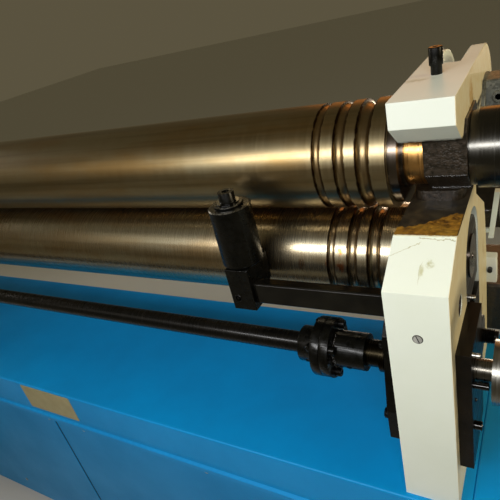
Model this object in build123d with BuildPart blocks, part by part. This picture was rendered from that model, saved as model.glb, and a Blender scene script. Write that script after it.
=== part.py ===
from build123d import *
import math
import os

# Plate rolling machine: three forged rolls between two side housings on a welded blue base.
# Millimetres. X runs along the rolls with the drop end at +X, Y points to the back, Z is up.
# The origin is on the floor, below the middle of the top roll.

# Rolls
roll_d = 120.0
bay = 1420.0            # clear span between the side housings
roll_height = 950.0     # top roll axis above the floor
pinch_gap = 3.6         # daylight between the top and lower rolls
lower_lead = 6.0        # lower roll stands this far in front of the top roll
rear_reach = 190.0      # bending roll axis behind the top roll axis
rear_fall = 150.0       # and below it
top_end_gap = 13.6      # top roll body to the housing at the drop end
top_drive_gap = 10.0    # and at the drive end
low_end_gap = 5.0       # lower and rear roll bodies to the housings
journal_d = 50.0
groove_widths = (14.5, 11.5, 9.0)      # wire grooves, widest nearest the drop end
groove_setback = 36.9   # first groove centre to the housing
groove_pitch = 25.2
run_fit = 0.08          # radial running clearance in plain bearings
edge = 1.5              # broken edges on machined blocks
top_journal_r = 27.5
journal_inset = 6.0     # journal ends inside the drive side housing
ball_r = 42.0           # self-aligning bearing of the top roll
ball_w = 42.0
collar_gap = 3.6
ring_r = 38.0
ring_reach = -1.0       # ring ends just inside the housing's inner face
end_collar_r = 40.0
washer_r = 37.5         # thrust washer on the inner end of the end collar
washer_w = 7.0
centre_r = 4.0

# Side housings
side_t = 58.0
side_front = 156.0      # front face ahead of the roll axis
side_rear = 130.0       # rear face behind it
side_top_drop = 47.5    # top face below the roll axis
shoulder_run = 54.0     # front bevel, along the top
shoulder_fall = 29.0    # and down the front
rear_shoulder_y = 34.0
rear_shoulder_step = 18.5
rear_bevel_y = 110.0    # end of the rear bevel, behind the roll axis
rear_bevel_drop = 113.0 # and below it
rear_curve_drop = 215.0 # foot of the curve below the bevel
rear_curve_r = 300.0
deck_drop = 362.0       # deck below the roll axis
screw_y = 99.0          # countersunk clamp screw ahead of the slot
screw_drop = 126.0
screw_r = 12.0
screw_deep = 12.0
slot_half = 52.0        # bearing slot for the lower roll
slot_arch_drop = 120.0
slot_depth = 142.0      # arch centre to the slot floor
slide_fit = 0.4         # block to slot, each side
cheek_inset = 2.0       # blocks stand this far inside the faces
block_sink = 6.0        # arch of a lower block below the roll's axis
guide_inset = 16.0      # bending roll guides inside the housings' outer faces
jack_r = 12.0
jack_end = 16.0         # screw end above the slot floor
jack_box_h = 70.0
plate_front = 141.0     # bearing plate of the stub shaft on the outer face
plate_rear = 54.0
plate_top_drop = 153.0
plate_foot_drop = 310.0
worm_y = 50.0           # worm shaft of the jack box, with its round cap
worm_drop = 200.0
worm_r = 7.0
worm_out = 30.0
worm_cap_r = 23.0
saddle_y = 4.0
saddle_l = 56.0
saddle_inset = 4.0
saddle_corner = 12.0
drive_head = 78.0       # drive side housing rises this far above the roll axis

# Base
base_front = 163.0
base_rear = 157.0
apron_h = 81.0
apron_lip = 4.0
deck_over = 11.5        # deck past the housing
plinth_h = 60.0
panel_recess = 32.0
pedestal_w = 105.0
drive_bay = 330.0       # drive cabinet past the drive side housing
rail_len = 620.0
rail_w = 84.0
anchor_r = 9.0
anchor_inset = 40.0
sheet_edge = 3.0

# Drop end yoke
yoke_top = 75.0
yoke_front = 84.0
yoke_nose_h = 24.5
yoke_arch = 46.0        # inside of the arch to the roll axis
yoke_lip = 28.0         # front lip above the roll axis
lip_flat = 8.0
arch_corner = 10.0
arch_relief = 6.0       # back wall of the arch, cut away so it clears the block as it swings
fork_reach = 75.0       # fork floor to the hinge
yoke_under = 36.0       # underside of the tail below the roll axis
hinge_y = 135.0
hinge_drop = 12.0       # hinge below the roll axis
hinge_pin_r = 15.0
hinge_head_r = 55.0     # round head of the hinge pin on the outer face
hinge_head_t = 4.0
tongue_t = 24.0
tongue_gap = 1.0
block_half = 41.0       # drop end bearing block
block_high = 40.0
block_low = 36.0
block_top_chamfer = 10.0
block_bevel_in = 26.0   # bevel under the block, inwards
block_bevel_up = 23.0   # and upwards
block_w = 40.6
block_start = 19.4      # housing inner face to the block
seat_gap = 0.3
bush_r = 35.0
bush_wall = 4.5

keeper_h = 37.0
keeper_l = 45.0
keeper_out = 26.0
keeper_y = 125.5
keeper_rise = 23.0
stud_y = 11.0
stud_r = 5.5
stud_neck = 9.0
stud_head_r = 6.8
stud_h = 26.0
stud_socket_r = 3.0
collar_r = 54.0
end_collar_l = 51.4

# Bending roll carriages behind the housings
slide_angle = 130.2     # climb of the carriage, from +Y round towards +Z
carriage_half = 29.3
carriage_low = 60.0     # slot floor below the carriage centre
carriage_high = 48.0    # rear wall's height above it
guide_wall = 32.0
guide_back = 282.0
guide_bottom_drop = 340.0
guide_heel = 95.0
carriage_out = 14.0     # drop end carriage past the housing's outer face
case_front = 136.0      # gear case of the rear shaft on the drop end guide
case_rear = 258.0
case_top_drop = 258.0
case_t = 34.0
tongue_r = 34.0
rear_shaft_y = 230.0
rear_shaft_drop = 275.0
crank_reach = 24.0
crank_square = 22.0

# Adjusting shaft
shaft_d = 25.0
shaft_y = -117.6
shaft_drop = 187.6
bearing_plate = 14.5
bracket_rise = 47.0     # bracket above the shaft
bracket_drop = 116.0    # and below it
bracket_front = 27.0
bracket_back = 42.0
bracket_nose = 12.0
bracket_toe = 18.0
flange_r = 34.5
flange_t = 10.6
flange_gap = 0.3
flange_setback = 82.3   # coupling face to the housing
hub_r = 21.0
left_hub_l = 21.0
right_hub_l = 36.0
stub_d = 30.0
stub_collar_r = 19.0
stub_collar_w = 5.2
outer_plate = 14.0
wheel_out = 31.5
wheel_hub_r = 32.0
wheel_hub_l = 34.0
wheel_bore = 11.3
wheel_r = 100.0
rim_r = 8.0

# Cone bending attachment
bar_h = 28.0
bar_t = 15.0
bar_front = 116.0
bar_drop = 110.0
post_x = 182.0          # housing to the middle of the post
post_front = 121.0
cone_setback = 185.0    # housing to the guide roller's axis
cone_bore = 8.2
cone_washer_r = 17.0
cone_head_r = 9.5
post_w = 31.0
post_back = 72.0
post_heel_drop = 126.0
post_toe = 104.0
post_drop = 145.5
cone_r = 25.0
cone_y = -95.0
cone_top_drop = 16.5
cone_bottom_drop = 90.0

# Drive cabinet and the small fittings behind the drop end housing
cover_inset = 24.0
switch_drop = 228.5
switch_out = 13.0       # box past the housing's outer face
switch_h = 41.0
switch_deep = 16.0
plunger_r = 3.3
plunger_out = 4.6
plunger_drop = 226.0
stop_foot = 2.0         # foot and head of the leaning stop bar past the housing's outer face
stop_head = 10.0
stop_w = 6.5
stop_t = 12.0
stop_gap = 4.0          # stop bar behind the housing's rear face
stop_top_drop = 110.0
stop_bottom_drop = 179.0
stop_pin_r = 3.5
stop_pin_drop = 170.0

# Places worked out from the sizes above
roll_r = roll_d / 2
journal_r = journal_d / 2
xi = bay / 2
xo = xi + side_t
mid = xi + side_t / 2
rz = roll_height
low_y = -lower_lead
low_z = rz - math.sqrt((roll_d + pinch_gap) ** 2 - lower_lead ** 2)
back_y = rear_reach
back_z = rz - rear_fall
hinge_z = rz - hinge_drop
deck_z = rz - deck_drop
block_r = slot_half - slide_fit
shaft_z = rz - shaft_drop
shaft_r = shaft_d / 2
bracket_top = shaft_z + bracket_rise
bracket_foot = shaft_z - bracket_drop
stub_r = stub_d / 2
base_half = xo + deck_over
block_in = xi + block_start
block_out = block_in + block_w
top_z = rz - side_top_drop
slot_arch_z = rz - slot_arch_drop
slot_floor_z = slot_arch_z - slot_depth
curve_foot_z = rz - rear_curve_drop
guide_t = side_t - cheek_inset - guide_inset
guide_bottom = rz - guide_bottom_drop
rear_shaft_z = rz - rear_shaft_drop

os.makedirs("parts", exist_ok=True)


def save(piece, label):
    """Name a finished piece and write its STEP file."""
    piece.part.label = label
    export_step(piece.part, f"parts/{label}.step")


def side_plane(x):
    """Plane across the machine at x, with sketch axes Y and Z."""
    return Plane(origin=(x, 0, 0), x_dir=(0, 1, 0), z_dir=(1, 0, 0))


# Base: deck tray with folded apron and lip
with BuildPart() as deck:
    with BuildSketch(side_plane(-base_half)):
        with BuildLine():
            Polyline(
                (-base_front, deck_z), (base_rear, deck_z), (base_rear, deck_z - apron_h),
                (-base_front - apron_lip, deck_z - apron_h),
                (-base_front - apron_lip, deck_z - apron_h + 2 * apron_lip),
                (-base_front, deck_z - apron_h + 3 * apron_lip),
                close=True,
            )
        make_face()
    extrude(amount=2 * base_half)
    fillet(deck.edges().filter_by(Axis.X).group_by(Axis.Z)[-1], sheet_edge)
save(deck, "deck")

# Base: recessed cabinet below the deck
with BuildPart() as cabinet:
    with BuildSketch(Plane.XY.offset(plinth_h)):
        with Locations((0, (base_rear - base_front) / 2)):
            Rectangle(2 * base_half - 2, base_front + base_rear - 2 * panel_recess)
    extrude(amount=deck_z - apron_h - plinth_h)
save(cabinet, "base_cabinet")

# Base: end pedestals, the one at the drive end wide enough for the drive cabinet
pedestal_spans = {
    "pedestal_right": (base_half, base_half + pedestal_w),
    "pedestal_left": (-xo - drive_bay, -base_half),
}
for label, (x0, x1) in pedestal_spans.items():
    with BuildPart() as pedestal:
        with BuildSketch(Plane.XY.offset(plinth_h)):
            with Locations(((x0 + x1) / 2, (base_rear - base_front) / 2)):
                Rectangle(x1 - x0, base_front + base_rear)
        extrude(amount=deck_z - plinth_h)
        fillet(pedestal.edges().filter_by(Axis.Z), sheet_edge)
        fillet(pedestal.edges().group_by(Axis.Z)[-1], sheet_edge)
    save(pedestal, label)

# Base: floor rails with anchor holes
rail_x = base_half + pedestal_w / 2
for label, x in {"floor_rail_right": rail_x, "floor_rail_left": -rail_x}.items():
    with BuildPart() as rail:
        with BuildSketch(Plane.XY):
            with Locations((x, 0)):
                Rectangle(rail_w, rail_len)
        extrude(amount=plinth_h)
        chamfer(rail.edges().filter_by(Axis.X).group_by(Axis.Z)[-1], plinth_h / 3, plinth_h / 2)
        with Locations((x, rail_len / 2 - anchor_inset, plinth_h), (x, anchor_inset - rail_len / 2, plinth_h)):
            Hole(anchor_r)
    save(rail, label)

# Base: plain rail under the outer end of the drive cabinet
with BuildPart() as end_rail:
    with BuildSketch(Plane.XY):
        with Locations((rail_w / 2 - xo - drive_bay, (base_rear - base_front) / 2)):
            Rectangle(rail_w, base_front + base_rear - 2 * panel_recess)
    extrude(amount=plinth_h)
save(end_rail, "floor_rail_end")


def turned(*steps, start, bore=0.0):
    """Half section of a turned piece, each step given as (its end, its radius)."""
    points = [(start, bore)]
    x = start
    for end, radius in steps:
        points += [(x, radius), (end, radius)]
        x = end
    points.append((x, bore))
    with BuildSketch() as section:
        with BuildLine():
            Polyline(*points, close=True)
        make_face()
    return section.sketch


def axis_plane(y, z):
    """Plane through an axis along the machine at y and z, with sketch axes X and Z."""
    return Plane(origin=(0, y, z), x_dir=(1, 0, 0), z_dir=(0, -1, 0))


def spin_axis(y, z):
    """Axis along the machine at y and z."""
    return Axis((0, y, z), (1, 0, 0))


def slot_face(y, arch_z, floor_z, half):
    """Arched bearing slot."""
    with BuildSketch() as outline:
        with BuildLine():
            Line((y - half, floor_z), (y - half, arch_z))
            ThreePointArc((y - half, arch_z), (y, arch_z + half), (y + half, arch_z))
            Line((y + half, arch_z), (y + half, floor_z))
            Line((y + half, floor_z), (y - half, floor_z))
        make_face()
    return outline.sketch


# Right housing: bevelled plate, cut away behind for the bending roll, with the lower roll's slot
with BuildPart() as housing_right:
    with BuildSketch(side_plane(xi)):
        with BuildLine():
            Polyline(
                (side_rear, curve_foot_z), (side_rear, deck_z), (-side_front, deck_z),
                (-side_front, top_z - shoulder_fall), (shoulder_run - side_front, top_z),
                (rear_shoulder_y, top_z), (rear_shoulder_y, top_z - rear_shoulder_step),
                (rear_bevel_y, rz - rear_bevel_drop),
            )
            RadiusArc((rear_bevel_y, rz - rear_bevel_drop), (side_rear, curve_foot_z), rear_curve_r)
        make_face()
        add(slot_face(low_y, slot_arch_z, slot_floor_z, slot_half), mode=Mode.SUBTRACT)
        with Locations((shaft_y, shaft_z)):
            Circle(shaft_r + slide_fit, mode=Mode.SUBTRACT)
    extrude(amount=side_t)
    with BuildSketch(side_plane(xo)):
        with Locations((-screw_y, rz - screw_drop)):
            Circle(screw_r)
    extrude(amount=-screw_deep, mode=Mode.SUBTRACT)
save(housing_right, "housing_right")

# Left housing: the same plate carried up round the self-aligning bearing of the top roll
with BuildPart() as housing_left:
    with BuildSketch(side_plane(-xo)):
        with BuildLine():
            Polyline(
                (-side_front, deck_z), (-side_front, rz + drive_head - shoulder_run),
                (shoulder_run - side_front, rz + drive_head), (side_rear - shoulder_run, rz + drive_head),
                (side_rear, rz + drive_head - shoulder_run), (side_rear, deck_z),
                close=True,
            )
        make_face()
        add(slot_face(low_y, slot_arch_z, slot_floor_z, slot_half), mode=Mode.SUBTRACT)
        with Locations((0, rz)):
            Circle(ball_r + slide_fit, mode=Mode.SUBTRACT)
        with Locations((shaft_y, shaft_z)):
            Circle(shaft_r + slide_fit, mode=Mode.SUBTRACT)
    extrude(amount=side_t)
save(housing_left, "housing_left")

# Bending roll guides: castings on the backs of the housings with an open inclined slot
climb = Vector(math.cos(math.radians(slide_angle)), math.sin(math.radians(slide_angle)))
across = Vector(climb.Y, -climb.X)
rest = Vector(back_y, back_z)
slot_side = carriage_half + slide_fit
front_wall = rest - across * slot_side
front_top = front_wall + climb * carriage_half
guide_lip = (front_top.X - side_rear) / 2
floor_front = front_wall - climb * carriage_low
floor_back = rest + across * slot_side - climb * carriage_low
guide_top = rest + across * slot_side + climb * carriage_high
guide_crest = guide_top + across * guide_wall


def guide_face():
    """Outline of a bending roll guide, with the hole for its shaft."""
    with BuildSketch() as outline:
        with BuildLine():
            Polyline(
                (side_rear, guide_bottom), (side_rear, curve_foot_z), (front_top.X - guide_lip, front_top.Y),
                (front_top.X, front_top.Y), (floor_front.X, floor_front.Y),
                (floor_back.X, floor_back.Y), (guide_top.X, guide_top.Y), (guide_crest.X, guide_crest.Y),
                (guide_back, back_z), (guide_back, guide_bottom + guide_heel), (rear_shaft_y, guide_bottom),
                close=True,
            )
        make_face()
        with Locations((rear_shaft_y, rear_shaft_z)):
            Circle(shaft_r + slide_fit, mode=Mode.SUBTRACT)
    return outline.sketch


for label, x in {"rear_guide_right": xi + cheek_inset, "rear_guide_left": guide_inset - xo}.items():
    with BuildPart() as guide:
        with BuildSketch(side_plane(x)):
            add(guide_face())
        extrude(amount=guide_t)
        if x > 0:
            with BuildSketch(side_plane(mid - tongue_t / 2)):
                with Locations((hinge_y, hinge_z)):
                    Circle(tongue_r)
                with BuildLine():
                    Polyline(
                        (hinge_y, hinge_z - tongue_r), (guide_top.X, guide_top.Y - edge),
                        (guide_back - guide_wall, back_z + guide_wall), (hinge_y + tongue_r, hinge_z),
                        close=True,
                    )
                make_face()
                with Locations((hinge_y, hinge_z)):
                    Circle(hinge_pin_r + run_fit, mode=Mode.SUBTRACT)
            extrude(amount=tongue_t)
    save(guide, label)


def grooved(section):
    """The half section of a roll less its wire grooves."""
    with BuildSketch() as cut:
        add(section)
        for row, width in enumerate(groove_widths):
            with Locations((xi - groove_setback - row * groove_pitch, roll_r)):
                Circle(width / 2, mode=Mode.SUBTRACT)
    return cut.sketch


# Top roll: journal in the self-aligning bearing, body, shoulder collar, ring and long drop end journal
with BuildPart() as top_roll:
    with BuildSketch(axis_plane(0, rz)):
        add(grooved(turned(
            (top_drive_gap - xi, top_journal_r), (xi - top_end_gap, roll_r),
            (xi - collar_gap, collar_r), (xi + ring_reach, ring_r),
            (block_out + end_collar_l, top_journal_r),
            start=journal_inset - xo,
        )))
    revolve(axis=spin_axis(0, rz))
    chamfer(top_roll.edges().filter_by(GeomType.CIRCLE).group_by(Axis.X)[-1], edge)
save(top_roll, "top_roll")

# Collar on the end of the top roll
with BuildPart() as end_collar:
    with BuildSketch(axis_plane(0, rz)):
        add(turned(
            (block_out + washer_w, washer_r), (block_out + end_collar_l - edge, end_collar_r),
            start=block_out + seat_gap, bore=top_journal_r,
        ))
    revolve(axis=spin_axis(0, rz))
    chamfer(end_collar.edges().group_by(Axis.X)[-1].sort_by(SortBy.RADIUS)[-1], 2 * edge)
save(end_collar, "top_roll_collar")

# Bronze bush, flanged outside the bearing block
with BuildPart() as bush:
    with BuildSketch(axis_plane(0, rz)):
        add(turned(
            (block_in, bush_r), (block_out, top_journal_r + bush_wall),
            start=xi + ring_reach + seat_gap, bore=top_journal_r + run_fit,
        ))
    revolve(axis=spin_axis(0, rz))
save(bush, "top_bush")

# Drop end bearing block, chamfered above and bevelled below
with BuildPart() as top_block:
    with BuildSketch(side_plane(block_in)):
        with BuildLine():
            Polyline(
                (0, rz + block_high), (block_half - block_top_chamfer, rz + block_high),
                (block_half, rz + block_high - block_top_chamfer), (block_half, rz - block_low + block_bevel_up),
                (block_half - block_bevel_in, rz - block_low), (0, rz - block_low),
            )
            mirror(about=Plane.YZ)
        make_face()
    extrude(amount=block_w)
    with Locations(Location((block_in, 0, rz), (0, 90, 0))):
        Hole(top_journal_r + bush_wall)
save(top_block, "top_bearing_block")

# Self-aligning ball of the top roll in the drive side housing
with BuildPart() as ball:
    with BuildSketch(axis_plane(0, rz)):
        with Locations((-mid, 0)):
            Circle(ball_r)
            Rectangle(ball_w, 2 * ball_r, mode=Mode.INTERSECT)
        with Locations((-mid, -ball_r + top_journal_r + run_fit)):
            Rectangle(2 * ball_r, 2 * ball_r, mode=Mode.SUBTRACT)
    revolve(axis=spin_axis(0, rz))
save(ball, "top_bearing_ball")

# Saddle under the drop end bearing block
with BuildPart() as saddle:
    with BuildSketch(Plane.XY.offset(top_z)):
        with Locations((mid, saddle_y)):
            RectangleRounded(side_t - 2 * saddle_inset, saddle_l, saddle_corner)
    extrude(amount=rz - block_low - seat_gap - top_z)
save(saddle, "saddle")

# Lower roll
with BuildPart() as lower_roll:
    with BuildSketch(axis_plane(low_y, low_z)):
        add(grooved(turned(
            (low_end_gap - xi, journal_r), (xi - low_end_gap, roll_r), (xo, journal_r),
            start=cheek_inset - xo,
        )))
        with Locations((xo, 0)):
            Circle(centre_r, mode=Mode.SUBTRACT)
    revolve(axis=spin_axis(low_y, low_z))
save(lower_roll, "lower_roll")

# Bending roll
with BuildPart() as rear_roll:
    with BuildSketch(axis_plane(back_y, back_z)):
        add(grooved(turned(
            (low_end_gap - xi, journal_r), (xi - low_end_gap, roll_r), (xo + carriage_out, journal_r),
            start=guide_inset - xo,
        )))
    revolve(axis=spin_axis(back_y, back_z))
save(rear_roll, "rear_roll")

# Lower roll blocks and the jack screws that carry them
for side, x in {"right": xi + cheek_inset, "left": cheek_inset - xo}.items():
    with BuildPart() as low_block:
        with BuildSketch(side_plane(x)):
            add(slot_face(low_y, low_z - block_sink, low_z - slot_half, block_r))
            with Locations((low_y, low_z)):
                Circle(journal_r + run_fit, mode=Mode.SUBTRACT)
        extrude(amount=side_t - 2 * cheek_inset)
    save(low_block, f"lower_block_{side}")

    with BuildPart() as jack_screw:
        with BuildSketch(Plane.XY.offset(low_z - slot_half)):
            with Locations((x + side_t / 2 - cheek_inset, low_y)):
                Circle(jack_r)
        extrude(amount=slot_floor_z + jack_end - low_z + slot_half)
    save(jack_screw, f"jack_screw_{side}")

# Jack boxes in the foot of the slots, the right one with its plate on the outer face
for side, x in {"right": xi, "left": -xo}.items():
    with BuildPart() as jack_box:
        with BuildSketch(Plane.XY.offset(slot_floor_z)):
            with Locations((x + side_t / 2, low_y)):
                Rectangle(side_t, 2 * slot_half)
        extrude(amount=jack_box_h)
        if x > 0:
            with BuildSketch(side_plane(xo)):
                with BuildLine():
                    Polyline(
                        (-plate_front, rz - plate_top_drop), (-plate_rear, rz - plate_top_drop),
                        (-plate_rear, rz - plate_foot_drop), (-plate_front, rz - plate_foot_drop),
                        close=True,
                    )
                make_face()
                with Locations((shaft_y, shaft_z)):
                    Circle(shaft_r + slide_fit, mode=Mode.SUBTRACT)
            extrude(amount=outer_plate)
            for radius, reach in ((worm_cap_r, outer_plate), (worm_r, worm_out)):
                with BuildSketch(side_plane(xo)):
                    with Locations((-worm_y, rz - worm_drop)):
                        Circle(radius)
                extrude(amount=reach)
        with Locations((x + side_t / 2, low_y, slot_floor_z + jack_box_h)):
            Hole(jack_r + slide_fit, depth=jack_box_h - jack_end / 4)
    save(jack_box, f"jack_box_{side}")

# Bending roll carriages and the screws that carry them
for side, x in {"right": xi + cheek_inset, "left": guide_inset - xo}.items():
    plane = Plane(origin=(x, back_y, back_z), x_dir=(0, across.X, across.Y), z_dir=(1, 0, 0))
    with BuildPart() as carriage:
        with BuildSketch(plane):
            RectangleRounded(2 * carriage_half, 2 * carriage_half, 3 * edge)
            Circle(journal_r + run_fit, mode=Mode.SUBTRACT)
        extrude(amount=guide_t + (guide_inset + carriage_out if x > 0 else 0))
    save(carriage, f"rear_block_{side}")

    foot = Plane(
        origin=(x + guide_t / 2, back_y - climb.X * carriage_half, back_z - climb.Y * carriage_half),
        z_dir=(0, -climb.X, -climb.Y),
    )
    with BuildPart() as rear_screw:
        with BuildSketch(foot):
            Circle(jack_r)
        extrude(amount=carriage_low - carriage_half)
    save(rear_screw, f"rear_screw_{side}")

# Gear case of the rear shaft on the outer face of the drop end guide
with BuildPart() as rear_case:
    with BuildSketch(side_plane(xo - guide_inset)):
        with Locations((case_front, guide_bottom)):
            Rectangle(case_rear - case_front, rz - case_top_drop - guide_bottom, align=Align.MIN)
    extrude(amount=case_t)
    chamfer(rear_case.edges().filter_by(Axis.X), 2 * edge)
    with BuildSketch(side_plane(xo - guide_inset)):
        with Locations((rear_shaft_y, rear_shaft_z)):
            Circle(shaft_r + slide_fit)
    extrude(amount=case_t, mode=Mode.SUBTRACT)
save(rear_case, "rear_gear_case")

# Shaft through both bending roll guides, squared for a crank at the drop end
with BuildPart() as rear_shaft:
    with BuildSketch(side_plane(cheek_inset - xo)):
        with Locations((rear_shaft_y, rear_shaft_z)):
            Circle(shaft_r)
    extrude(amount=xo - cheek_inset + xo + crank_reach)
    with BuildSketch(side_plane(xo + crank_reach)):
        with Locations((rear_shaft_y, rear_shaft_z)):
            Rectangle(shaft_r * 1.2, shaft_r * 1.2)
    extrude(amount=crank_square)
save(rear_shaft, "rear_shaft")

# Yoke: hinged cap over the drop end bearing, forked at the tail for the hinge tongue
tail_r = yoke_top + hinge_drop
tail_x = math.sqrt(tail_r ** 2 - (yoke_under - hinge_drop) ** 2)
arch_top = rz + block_high + seat_gap
with BuildPart() as yoke:
    with BuildSketch(side_plane(xi)):
        with BuildLine():
            Polyline(
                (-yoke_arch, rz + yoke_lip), (-yoke_arch - lip_flat, rz + yoke_lip),
                (-yoke_front, rz + yoke_top - yoke_nose_h),
                (-yoke_front, rz + yoke_top), (hinge_y, rz + yoke_top),
            )
            ThreePointArc(
                (hinge_y, rz + yoke_top), (hinge_y + tail_r, hinge_z), (hinge_y + tail_x, rz - yoke_under),
            )
            Polyline(
                (hinge_y + tail_x, rz - yoke_under), (yoke_arch + arch_relief, rz - yoke_under), (yoke_arch, rz),
                (yoke_arch, arch_top - arch_corner), (yoke_arch - arch_corner, arch_top),
                (arch_corner - yoke_arch, arch_top), (-yoke_arch, arch_top - arch_corner),
                (-yoke_arch, rz + yoke_lip),
            )
        make_face()
        with Locations((hinge_y, hinge_z)):
            Circle(hinge_pin_r, mode=Mode.SUBTRACT)
    extrude(amount=side_t)
    with BuildSketch(side_plane(mid - tongue_t / 2 - tongue_gap)):
        with Locations((hinge_y - fork_reach, hinge_z)):
            Rectangle(4 * fork_reach, 4 * yoke_top, align=(Align.MIN, Align.CENTER))
    extrude(amount=tongue_t + 2 * tongue_gap, mode=Mode.SUBTRACT)
save(yoke, "yoke")

# Hinge pin of the yoke with its round head, the keeper block on it and the clamp screw on top
with BuildPart() as hinge_pin:
    with BuildSketch(side_plane(xi + cheek_inset)):
        with Locations((hinge_y, hinge_z)):
            Circle(hinge_pin_r)
    extrude(amount=side_t - cheek_inset)
    with BuildSketch(side_plane(xo)):
        with Locations((hinge_y, hinge_z)):
            Circle(hinge_head_r)
    extrude(amount=hinge_head_t)
    chamfer(hinge_pin.edges().group_by(Axis.X)[0], edge)
    fillet(hinge_pin.edges().group_by(Axis.X)[-1], edge / 2)
save(hinge_pin, "hinge_pin")

with BuildPart() as keeper:
    with BuildSketch(side_plane(xo + hinge_head_t)):
        with Locations((keeper_y, rz + keeper_rise)):
            Rectangle(keeper_l, keeper_h)
    extrude(amount=keeper_out)
    chamfer(keeper.edges().filter_by(Axis.X), edge)
save(keeper, "pin_keeper")

with BuildPart() as stud:
    with BuildSketch(Plane.XY.offset(rz + yoke_top)):
        with Locations((mid - cheek_inset, stud_y)):
            Circle(stud_r)
    extrude(amount=stud_neck)
    with BuildSketch(Plane.XY.offset(rz + yoke_top + stud_neck)):
        with Locations((mid - cheek_inset, stud_y)):
            Circle(stud_head_r)
    extrude(amount=stud_h - stud_neck)
    chamfer(stud.edges().group_by(Axis.Z)[-1], edge / 2)
    with BuildSketch(Plane.XY.offset(rz + yoke_top + stud_h)):
        with Locations((mid - cheek_inset, stud_y)):
            RegularPolygon(stud_socket_r, 6)
    extrude(amount=-stud_r, mode=Mode.SUBTRACT)
save(stud, "yoke_stud")


def turned_piece(*steps, start, bore=0.0):
    """Turned piece on the adjusting shaft's axis."""
    with BuildPart() as piece:
        with BuildSketch(axis_plane(shaft_y, shaft_z)):
            add(turned(*steps, start=start, bore=bore))
        revolve(axis=spin_axis(shaft_y, shaft_z))
    return piece


# Adjusting shaft, flanged coupling and the stub shaft that runs through the drop end housing
coupling_x = xi - flange_setback
left_face = coupling_x - flange_gap / 2
right_face = coupling_x + flange_gap / 2
right_hub_end = right_face + flange_t + right_hub_l
stub_collar_x = xi - bearing_plate - seat_gap
wheel_x = xo + wheel_out

adjust_shaft = turned_piece((left_face, shaft_r), start=cheek_inset - xo)
save(adjust_shaft, "adjust_shaft")

coupling_left = turned_piece(
    (left_face - flange_t, hub_r), (left_face, flange_r),
    start=left_face - flange_t - left_hub_l, bore=shaft_r,
)
save(coupling_left, "coupling_left")

coupling_right = turned_piece(
    (right_face + flange_t, flange_r), (right_hub_end, hub_r), start=right_face, bore=shaft_r,
)
save(coupling_right, "coupling_right")

stub_shaft = turned_piece(
    (right_hub_end, shaft_r), (stub_collar_x - stub_collar_w, stub_r), (stub_collar_x, stub_collar_r),
    (xo + outer_plate + edge, shaft_r), (wheel_x + wheel_hub_l, wheel_bore),
    start=right_face,
)
save(stub_shaft, "stub_shaft")

# Handwheel: hub, three spokes and a round rim
spoke_mid = (wheel_r - rim_r + wheel_hub_r - edge) / 2
with BuildPart() as handwheel:
    with BuildSketch(axis_plane(shaft_y, shaft_z)):
        add(turned(
            (wheel_x + wheel_hub_l, wheel_hub_r), start=wheel_x, bore=wheel_bore,
        ))
        with Locations((wheel_x + wheel_hub_l - rim_r, wheel_r - rim_r)):
            Circle(rim_r)
    revolve(axis=spin_axis(shaft_y, shaft_z))
    with BuildSketch(side_plane(wheel_x + wheel_hub_l - 1.5 * rim_r)):
        with Locations((shaft_y, shaft_z)):
            with PolarLocations(spoke_mid, 3):
                Rectangle(2 * (wheel_r - rim_r - spoke_mid), 2 * rim_r)
    extrude(amount=rim_r)
    with Locations(Location((wheel_x + wheel_hub_l, shaft_y, shaft_z + wheel_r - rim_r), (0, 90, 0))):
        Hole(rim_r * 0.7, depth=rim_r / 2)
save(handwheel, "handwheel")

with BuildPart() as crank_knob:
    with BuildSketch(axis_plane(shaft_y, shaft_z + wheel_r - rim_r)):
        add(turned(
            (wheel_x + wheel_hub_l + 1.5 * rim_r, rim_r * 0.7),
            (wheel_x + wheel_hub_l + 8 * rim_r, rim_r * 1.2), start=wheel_x + wheel_hub_l - rim_r / 2,
        ))
    revolve(axis=spin_axis(shaft_y, shaft_z + wheel_r - rim_r))
save(crank_knob, "handwheel_knob")

# Bearing brackets of the adjusting shaft on the inner faces of the housings
for side, x in {"right": xi - bearing_plate, "left": -xi}.items():
    with BuildPart() as bracket:
        with BuildSketch(side_plane(x)):
            with BuildLine():
                Polyline(
                    (shaft_y + bracket_front, bracket_top), (shaft_y, bracket_top),
                    (shaft_y - bracket_nose, bracket_top - bracket_nose),
                    (shaft_y - bracket_front, (shaft_z + bracket_foot) / 2),
                    (shaft_y - bracket_front, bracket_foot + bracket_toe),
                    (shaft_y - bracket_front + bracket_toe, bracket_foot),
                    (shaft_y + bracket_back - bracket_toe, bracket_foot),
                    (shaft_y + bracket_back, bracket_foot + bracket_toe), (shaft_y + bracket_back, shaft_z),
                    close=True,
                )
            make_face()
            with Locations((shaft_y, shaft_z)):
                Circle(shaft_r + slide_fit, mode=Mode.SUBTRACT)
        extrude(amount=bearing_plate)
    save(bracket, f"shaft_bracket_{side}")

# Cone bending attachment: bar, post and guide roller on its pin
cone_x = xi - cone_setback
with BuildPart() as cone_bar:
    with BuildSketch(side_plane(xi - post_x + post_w / 2)):
        with Locations((bar_t / 2 - bar_front, rz - bar_drop - bar_h / 2)):
            Rectangle(bar_t, bar_h)
    extrude(amount=post_x - post_w / 2)
    chamfer(cone_bar.edges().filter_by(Axis.X), edge)
save(cone_bar, "cone_bar")

with BuildPart() as cone_post:
    with BuildSketch(side_plane(xi - post_x - post_w / 2)):
        with BuildLine():
            Polyline(
                (-post_front, rz - post_drop), (-post_front, rz - cone_bottom_drop),
                (-post_back, rz - cone_bottom_drop), (-post_back, rz - post_heel_drop),
                (-post_toe, rz - post_drop),
                close=True,
            )
        make_face()
    extrude(amount=post_w)
save(cone_post, "cone_post")

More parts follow.
